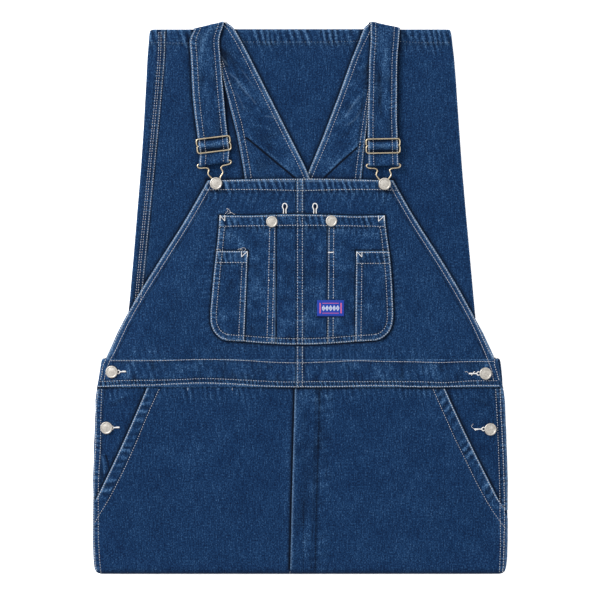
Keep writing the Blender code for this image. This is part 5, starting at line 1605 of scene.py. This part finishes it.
def sew_pocket():
    work = Sewing(203)
    first, *middle, last = offset(pocket_outline, 8.6)
    work.rows(EDGE, offset(pocket_outline, 1.7))
    work.rows(FINE, [(first[0], 99.0), *middle, (last[0], 99.0)])
    work.rows(EDGE, shifted(pocket_top, 0.0, -1.8))
    work.rows(PLAIN, [(x, 99.2 + 1.6 * arch(x)) for x in (-111, -60, 0, 60, 116.5)],
              [(-41.6, 98.4), (-45.4, -59)], [(-34.7, 98.4), (-38.4, -60.4)],
              [(40.4, 98.4), (39.2, -1)], [(38.8, -25.4), (38.4, -60.4)],
              [(46.6, 98.4), (46, -1)], [(45.8, -25.4), (45.5, -59.6)])
    for side, upper, lower in (("l", 64.4, 49.6), ("r", 63.4, 48.4)):
        sign = SIGN[side]
        top_x, bottom_x = NARROW[side]
        outer = float(POCKET.at(side, 60.0)) - sign * NARROW_OUTSET
        work.rows(EDGE, [(top_x + sign * 1.2, 64.0), (bottom_x + sign * 1.2, -59.0)])
        work.rows(FINE, [(top_x + sign * 8.0, 49.0), (bottom_x + sign * 8.0, -58.0)])
        work.rows(EDGE, [(top_x + sign * 0.6, upper), (outer, upper)])
        work.rows(PLAIN, [(top_x + sign * 0.8, lower), (outer, lower)])
    return work.finish("stitching_pocket", thread)


def sew_front():
    work = Sewing(204)
    work.rows(LINE, waist_top)
    work.rows(FINE, waist_upper)
    work.rows(EDGE, waist_lower)
    for side, end in (("l", []), ("r", [(283.2, -291.5)])):
        edge = slant_line(side, -124.0, -160.0, -200.0, -240.0, -277.0)
        work.rows(EDGE, offset(edge, -1.4 * SIGN[side]) + end)
    work.rows(
        FINE,
        [(-193.6, -124.5), (-196.4, -130), (-210.5, -161.5), (-226.3, -199.7), (-243.3, -237.3),
         (-262.2, -274.2), (-276, -297), (-283.4, -309.5)],
        [(183.2, -124.5), (197.7, -157.6), (212.5, -190.6), (228.6, -223.3), (244.4, -255.8),
         (262.3, -287.4), (272, -302), (283.8, -318)],
        [(-273.8, -124.5), (-275, -168), (-275.6, -209), (-278, -251), (-278.1, -293),
         (-277.9, -334), (-275.3, -372), (-274.6, -379)],
        [(269.9, -124.5), (272.3, -168), (273.9, -209), (275.2, -251), (275.9, -293),
         (276.5, -334), (275.2, -378)])
    side_ys = (-126, -146, -200, -245, -340, -370, -376)
    work.rows(EDGE, shifted(BODY.line("l", side_ys), 1.8),
              [(276.6, -124.5), (277.3, -154.6), (280.1, -209.8), (281.4, -251), (282.1, -292.6),
               (281.4, -334), (280.7, -361.6), (279.6, -378)])
    for x in (-154.6, -93.3):
        work.bar((x, -122.9), (x, -126.6), 0.6)
    return work.finish("stitching_front", thread)


def sew_fly():
    """Navy topstitching of the fly, which hardly shows."""
    work = Sewing(205)
    work.rows(NAVY, [(26.9, -124.5), (25, -200), (22.1, -300), (20.6, -379)],
              [(4.8, -278), (4.6, -330), (4.4, -379)])
    return work.finish("stitching_fly", thread_navy)


STRAP_INSETS = {"l": (2.2, 8.9, 34, 40.4), "r": (1.6, 7.4, 33.8, 40.3)}
INNER_SEAMS = {
    "l": ((371, 350, 334.7, 315, 281, 225, 186), 165.5,
          [(-103.4, 380.4), (-100.6, 378.6)], [(-105.4, 377.6), (-98.6, 370.2)]),
    "r": ((371, 350, 333.5, 315, 277, 220, 188), 173.0,
          [(99, 380.4), (96.2, 378.6)], [(99.4, 377.6), (97.2, 370.2)])}


def sew_straps():
    work = Sewing(206)
    for side in "lr":
        outer, normal = strap_grids[side]
        middle = outer[len(outer) // 2]
        width = np.linalg.norm(middle - middle[0], axis=1)
        rows = slice(2, len(outer) - 11)
        for inset, kind in zip(STRAP_INSETS[side], (EDGE, FINE, FINE, EDGE)):
            inset *= width[-1] / STRAP_WIDTH
            k = int(np.clip(np.searchsorted(width, inset), 1, len(width) - 1))
            f = (inset - width[k - 1]) / (width[k] - width[k - 1])
            points = outer[:, k - 1] * (1.0 - f) + outer[:, k] * f
            work.row(points[rows], normal[rows, k], **{**kind, "width": kind["width"] * 0.92})
    for side, (ys, end_y, turn, second_turn) in INNER_SEAMS.items():
        for kind, off, last, start, skip in ((EDGE, 1.7, end_y, turn, 0),
                                             (FINE, 7.5, 166.0, second_turn, 1)):
            inner = BACK_BIB[side].line("inner", (*ys, last))
            work.rows(kind, start + offset(inner, SIGN[side] * off)[skip:])
    work.rows(
        FINE,
        [(-108.6, 325), (-107.1, 311.5), (-100.6, 287), (-94.9, 266), (-88, 241),
         (-81.1, 208), (-75.6, 174), (-74.4, 165.8)],
        [(-107.6, 329), (-98.8, 302.4), (-91.4, 281.1), (-85.3, 258.3), (-79.9, 238.6),
         (-74.2, 208), (-68.4, 174), (-67.4, 165.8)],
        [(96.2, 290), (92.8, 249), (87.8, 208.6), (84, 174), (83, 165.8)],
        [(94.6, 287), (92.2, 272.8), (87.8, 247.4), (84.5, 225.4), (81.1, 201.1), (77.4, 174),
         (76.6, 165.8)])
    return work.finish("stitching_straps", thread)


def keyhole(work, dark, start, end, width, gap):
    """A buttonhole from its slit's end at start to its eye at end."""
    start, end = np.array(start), np.array(end)
    length = np.linalg.norm(end - start)
    along = (end - start) / length
    side = np.array((-along[1], along[0]))
    slit, eye = width * gap, width * 0.40
    half = [(0.0, slit), (length - 2.6 * eye, slit), (length - 1.8 * eye, eye),
            (length - 0.8 * eye, eye * 0.95), (length - 0.15 * eye, eye * 0.5)]
    outline = half + [(length, 0.0)] + [(far, -out) for far, out in reversed(half)]
    points, normals = lay([start + along * far + side * out for far, out in outline], 0.45)
    ripple = 1.0 + 0.16 * np.cos(np.arange(len(points)) * 2.4)
    work.tube(points + normals * 0.35, normals, 0.80 * ripple, 0.75, 0.05)
    points, normals = lay([start + along * 0.3, start + along * (length - 0.9 * eye)], 0.6)
    dark.tube(points + normals * 0.03, normals,
              np.linspace(0.32, 0.75, len(points)) * slit * 1.6, 0.25, 0.9)


SIDE_HOLES = (((-240.6, -100.7), (-253.5, -101.4)), ((-249.6, -177.8), (-262.5, -178.4)),
              ((233.4, -103.5), (249, -103.4)), ((241, -180.2), (256, -180)))
BARTACKS = (((38.6, 63.4), (46.6, 63.6), 1.5), ((-43.4, 25), (-42, 25.2), 1.4))
POCKET_CORNERS = (((-110.2, 114.6), (-103.6, 106.8)), ((116.2, 114.2), (108.2, 106.2)),
                  ((-72.6, 64.8), (-80.6, 57.2)), ((78.2, 64.4), (85.4, 57.2)))
LOOSE_ENDS = (
    [(-103.5, 117), (-99.5, 121), (-101, 124.5), (-97, 121.5), (-95.5, 117.5)],
    [(-100, 116.5), (-95, 118.5), (-90, 115.5)],
    [(-83, 66.5), (-79, 70), (-75, 68.5), (-77, 65)],
    [(-86, 67.5), (-82, 68.6), (-79, 66.4)],
    [(240, -180), (236.5, -176.5), (238.5, -173)],
    [(232, -102.6), (229, -100.6), (227, -101.6)],
    [(-109, 66), (-112.5, 68), (-116, 66.8)])


def make_buttonholes():
    """Keyhole buttonholes in white thread, bartacks and loose ends."""
    work, dark = Sewing(207), Sewing(208)
    for x in (-21, 20.7):
        keyhole(work, dark, (x, 117.2), (x, 131.2), 7.6, 0.24)
    for far, near in SIDE_HOLES:
        keyhole(work, dark, far, near, 5.4, 0.07)
        inward = math.copysign(1.0, far[0])
        work.bar((far[0] - inward, far[1]), (far[0] + 4.6 * inward, far[1]), 2.3)
    for start, end in (((240.8, -100.4), (238.4, -102.8)), ((236, -106), (237.6, -103.9)),
                       ((241.4, -182), (243.2, -180.6))):
        work.bar(start, end, 1.2)
    for (x0, y0), (x1, y1) in POCKET_CORNERS:
        for start, end in (((x0, y0), (x0, y1)), ((x0, y0), (x1, y1)), ((x1, y1), (x1, y0))):
            work.bar(start, end, 1.0)
    for start, end, width in BARTACKS:
        work.bar(start, end, width)
    for line in LOOSE_ENDS:
        work.cord(line, 0.7, 0.19, 1.0, 0.1, lift=0.5)
    return [work.finish("buttonholes_and_bartacks", thread_white),
            dark.finish("buttonhole_slits", thread_navy)]


def make_label_weave():
    """A plain geometric design on the label: a border and a row of lozenges."""
    red, white = Sewing(209), Sewing(210)
    left, right, bottom, top = LABEL
    for x in (left + 4.4, right - 4.4):
        for shift in (-0.5, 0.5):
            red.cord([(x + shift, bottom + 4.0), (x + shift, top - 4.0)], 0.8, 0.5, 0.35, 0.3)
    middle = (bottom + top) / 2.0
    for k in range(5):
        for size in (2.3, 1.2):
            half, tall = size * 0.9, size * 1.6
            corners = shifted([(-half, 0.0), (0.0, tall), (half, 0.0), (0.0, -tall), (-half, 0.0)],
                              left + 9.0 + k * 4.9, middle)
            for edge in zip(corners, corners[1:]):
                white.cord(edge, 0.6, 0.36, 0.4, 0.2)
    for y in (bottom + 4.4, top - 4.4):
        red.cord([(left + 7.4, y), (right - 7.4, y)], 0.8, 0.42, 0.35, 0.3)
    pieces = []
    for work, name, material in ((red, "label_border", label_red),
                                 (white, "label_lozenges", label_white)):
        obj = work.finish(name, material)
        put_grain(obj.data, np.array(work.verts)[:, :2])
        pieces.append(settle(obj))
    return pieces


# ---------------------------------------------------------------- metal

WIRE_SIDES = 14
BUTTON_SIDES = 64


def wire_mesh(points, radius, closed=True):
    """Round wire along a line of points."""
    points = np.array(points, float)
    if closed:
        tangent = np.roll(points, -1, axis=0) - np.roll(points, 1, axis=0)
    else:
        tangent = np.gradient(points, axis=0)
    tangent /= np.linalg.norm(tangent, axis=1, keepdims=True)
    verts = []
    for place, along in zip(points, tangent):
        side = unit(np.cross(along, (0, 0, 1)))
        up = np.cross(side, along)
        for j in range(WIRE_SIDES):
            turn = 2.0 * math.pi * j / WIRE_SIDES
            verts.append(place + (side * math.cos(turn) + up * math.sin(turn)) * radius)
    faces = ring_faces(len(points), WIRE_SIDES, closed=closed)
    return verts, faces if closed else faces + caps(len(points), WIRE_SIDES)


def make_slider(side):
    centre, right, up = turned_frame(*SLIDERS[side])
    half_w, half_h, corner, pinch = SLIDER_HALF, SLIDER_SPAN / 2.0, 3.2, 1.12
    quarter = [(half_w + corner * (math.cos(turn) - 1.0), half_h + corner * (math.sin(turn) - 1.0))
               for turn in np.radians(np.linspace(90, 0, 9))]
    quarter += [(half_w - pinch * math.exp(-(y / 1.5) ** 2), y) for y in np.linspace(5.4, 0, 9)[:-1]]
    half = quarter + [(half_w - pinch, 0.0)] + [(x, -y) for x, y in reversed(quarter)]
    outline = half + [(-x, y) for x, y in reversed(half)]
    verts, faces = wire_mesh([(*(centre + right * x + up * y), SLIDER_Z) for x, y in outline], 1.05)
    bar = [(*(centre + right * x), SLIDER_Z) for x in np.linspace(1.0 - half_w, half_w - 1.0, 20)]
    more, more_faces = wire_mesh(bar, 0.9, closed=False)
    faces += [tuple(len(verts) + k for k in f) for f in more_faces]
    return settle(add_mesh(f"strap_slider_{WORDS[side]}", verts + more, faces, brass),
                  f"slider_{side}")


CLASP_HALF = ((18, 28.6), (20.6, 28.7), (22.6, 28), (23.5, 26.4), (22.6, 24.5), (20, 23.3),
              (15.5, 22.8), (12, 22.5), (9.6, 21.4), (8.5, 19.4), (9.2, 17.2), (10.1, 15),
              (10, 12.6), (8.2, 10), (6.2, 7.4), (5.3, 5), (5.6, 2.6), (6.3, 1))
CLASP_LOOP_R = 6.4
CLASP_HEIGHTS = Table(("y", "z"), [(8.0, CLASP_Z), (22.0, STRAP_END_Z + 0.6), (26.0, STRAP_END_Z)])


def make_clasp(side):
    origin, right, up = clasp_frame(side)
    loop = [(CLASP_LOOP_R * math.cos(turn), CLASP_LOOP_R * math.sin(turn))
            for turn in np.radians(-18.0 * np.arange(1, 10))]
    outline = [*CLASP_HALF, *loop, *((-x, y) for x, y in reversed(CLASP_HALF))]
    line = smooth_path([(*(origin + right * x + up * y), float(CLASP_HEIGHTS.at("z", y)))
                        for x, y in outline], 0.9)
    back = np.linspace(line[-1], line[0], 26)[1:-1]
    return settle(add_mesh(f"bib_clasp_{WORDS[side]}", *wire_mesh(np.vstack([line, back]), 1.0),
                           brass), f"clasp_{side}")


# Places on a button's section: how far in from its rim, and how far below its top.
BUTTON_RIM = ((0.9, 2.15), (0.35, 1.85), (0, 1.15), (0.12, 0.62), (0.5, 0.22), (1, 0.05),
              (1.5, 0.05), (1.95, 0.28), (2.2, 0.62), (2.5, 0.70), (2.9, 0.60), (3.2, 0.48),
              (3.7, 0.42), (4.2, 0.46), (4.7, 0.42), (5, 0.28), (5.3, 0.30), (5.7, 0.26))


def make_button(name, node, radius):
    """A tack button turned on its axis: dished cap, rolled rim and a ring of fine ribs."""
    co = np.array([v.co for v in nodes[node].data.vertices]) / MM
    middle = (co.min(0) + co.max(0)) / 2.0
    cap = co[np.linalg.norm(co - middle, axis=1) > radius * 0.6]
    _, _, axes = np.linalg.svd(cap - cap.mean(0), full_matrices=False)
    normal = axes[2] if axes[2][2] > 0.0 else -axes[2]
    depth = (co - middle) @ normal
    foot = middle + normal * depth.min()
    thick = depth.max() - depth.min()
    side = unit(np.cross(normal, (0, 1, 0)))
    up = np.cross(normal, side)
    profile = [(0, 0), (3, 0), (3.0, thick - 2.1),
               *((radius - inwards, thick - below) for inwards, below in BUTTON_RIM),
               (1.4, thick - 0.16), (0.7, thick - 0.12), (0.0, thick - 0.10)]
    verts = []
    for out, height in profile:
        ribbed = radius - 4.8 < out < radius - 2.95
        for j in range(BUTTON_SIDES):
            turn = 2.0 * math.pi * j / BUTTON_SIDES
            rib = 0.09 * math.cos(16.0 * turn) if ribbed else 0.0
            verts.append(foot + side * math.cos(turn) * out + up * math.sin(turn) * out
                         + normal * (height + rib))
    obj = add_mesh(name, verts, ring_faces(len(profile), BUTTON_SIDES), nickel)
    close_axis(obj)
    return settle(obj, node)


def close_axis(obj):
    """Closes the turned mesh at its axis."""
    bm = bmesh.new()
    bm.from_mesh(obj.data)
    bmesh.ops.remove_doubles(bm, verts=bm.verts, dist=1e-6)
    bmesh.ops.recalc_face_normals(bm, faces=bm.faces)
    bm.to_mesh(obj.data)
    bm.free()


# ---------------------------------------------------------------- building

def both(make):
    return {side: make(side) for side in "lr"}


leg_l, leg_r = make_legs()
bibs = both(make_bib)
pocket = make_pocket()
narrow_pockets = both(make_narrow_pocket)
label = make_label()
waistbands = both(make_waistband)
facings = both(make_facing)
fronts = both(make_front)
extensions = both(make_extension)
back_bibs = both(make_back_bib)
straps = both(make_strap)

all_verts, all_faces = [], []
for verts, faces in cloth_parts:
    all_faces += (np.asarray(faces) + len(all_verts)).tolist()
    all_verts += [Vector(v) for v in verts]
stitch_tree = BVHTree.FromPolygons(all_verts, all_faces)

hem_rows, leg_rows, bib_rows, pocket_rows = sew_hem(), sew_legs(), sew_bib(), sew_pocket()
front_rows, fly_rows, strap_seams = sew_front(), sew_fly(), sew_straps()
buttonholes = make_buttonholes()
label_design = make_label_weave()

core = make_core()
edge_left = make_layer_edges("leg_layers_left", leg_line["l"][::-1], 2, 0.3, 301)
edge_top = make_layer_edges("leg_layers_hem", [(-204.5, 370.6), (-100, 370.8), (0, 370.6),
                                               (100, 370.8), (204.5, 370.6)], 3, 0.2, 311)
edge_right = make_layer_edges("leg_layers_right", leg_line["r"], 2, 0.3, 321)
side_ys = (-84, -112, -146, -245, -340, -371)
side_left = make_layer_edges("body_layers_left", BODY.line("l", side_ys[::-1]), 4, 0.4, 331)
side_right = make_layer_edges("body_layers_right", BODY.line("r", side_ys), 4, 0.4, 341)

both(make_slider)
both(make_clasp)
for kind, radius in (("bib", 8.5), ("pocket", 7.8), ("waist", 8.5), ("hip", 8.5)):
    for side in "lr":
        make_button(f"{kind}_button_{WORDS[side]}", f"{kind}_button_{side}", radius)

# ---------------------------------------------------------------- each cloth piece's flat box, measured

declare(leg_l, [leg_rows, hem_rows, edge_left, edge_top])
declare(leg_r, [edge_right])
declare(bibs["l"], [bib_rows])
declare(bibs["r"])
declare(pocket, [pocket_rows, *buttonholes])
front_pieces = {"l": [front_rows, side_left, core], "r": [fly_rows, side_right]}
strap_pieces = {"l": [strap_seams], "r": []}
for side, word in WORDS.items():
    declare(narrow_pockets[side])
    declare(waistbands[side])
    declare(facings[side])
    declare(fronts[side], front_pieces[side], size=(0.285, 0.325))
    declare(extensions[side])
    declare(back_bibs[side])
    declare(straps[side], strap_pieces[side], size=(0.0416, 0.21))
declare(label, label_design)

# ---------------------------------------------------------------- floor, light and camera

FLOOR_REACH = 6.0
FLOOR_Z = -0.0002
# The floor glows a little: painted light that washes out the garment's shadow on it.
floor_look = Nodes("floor", (0.96, 0.96, 0.96), 0.9)
speck = floor_look.noise(floor_look.place(), 6.0)
floor_look.surface(Base_Color=floor_look.mix(floor_look.spread(speck, 0.3, 0.7, 0.0, 1.0),
                                             (0.955, 0.955, 0.955), (0.97, 0.97, 0.967)),
                   Emission_Color=(1, 1, 1), Emission_Strength=0.38)
floor_mesh = bpy.data.meshes.new("floor")
floor_mesh.from_pydata([(x * FLOOR_REACH, y * FLOOR_REACH, 0.0)
                        for x, y in ((-1, -1), (1, -1), (1, 1), (-1, 1))], [], [(0, 1, 2, 3)])
floor_mesh.materials.append(floor_look.material)
floor = bpy.data.objects.new("floor", floor_mesh)
floor.location.z = FLOOR_Z
bpy.context.scene.collection.objects.link(floor)

world = bpy.data.worlds.new("studio")
bpy.context.scene.world = world
world.use_nodes = True
background = world.node_tree.nodes["Background"]
background.inputs["Color"].default_value = (1, 1, 1, 1)
background.inputs["Strength"].default_value = 1.05


def add_light(name, place, size, power):
    """A square softbox that faces the garment."""
    data = bpy.data.lights.new(name, "AREA")
    data.shape = "SQUARE"
    data.size = size
    data.energy = power
    lamp = bpy.data.objects.new(name, data)
    lamp.location = place
    lamp.rotation_mode = "QUATERNION"
    lamp.rotation_quaternion = (-Vector(place)).to_track_quat("-Z", "Y")
    bpy.context.scene.collection.objects.link(lamp)


add_light("key", (-3.57, 2.89, 2.89), 1.7, 332.0)
add_light("fill", (1.8, 0.4, 2.4), 1.6, 10.0)

camera_data = bpy.data.cameras.new("camera")
camera_data.sensor_width = 36.0
camera_data.lens = 104.35
camera = bpy.data.objects.new("camera", camera_data)
camera.location = (0, -0.0021, 2.412)
bpy.context.scene.collection.objects.link(camera)
bpy.context.scene.camera = camera
bpy.context.scene.view_settings.view_transform = "Standard"
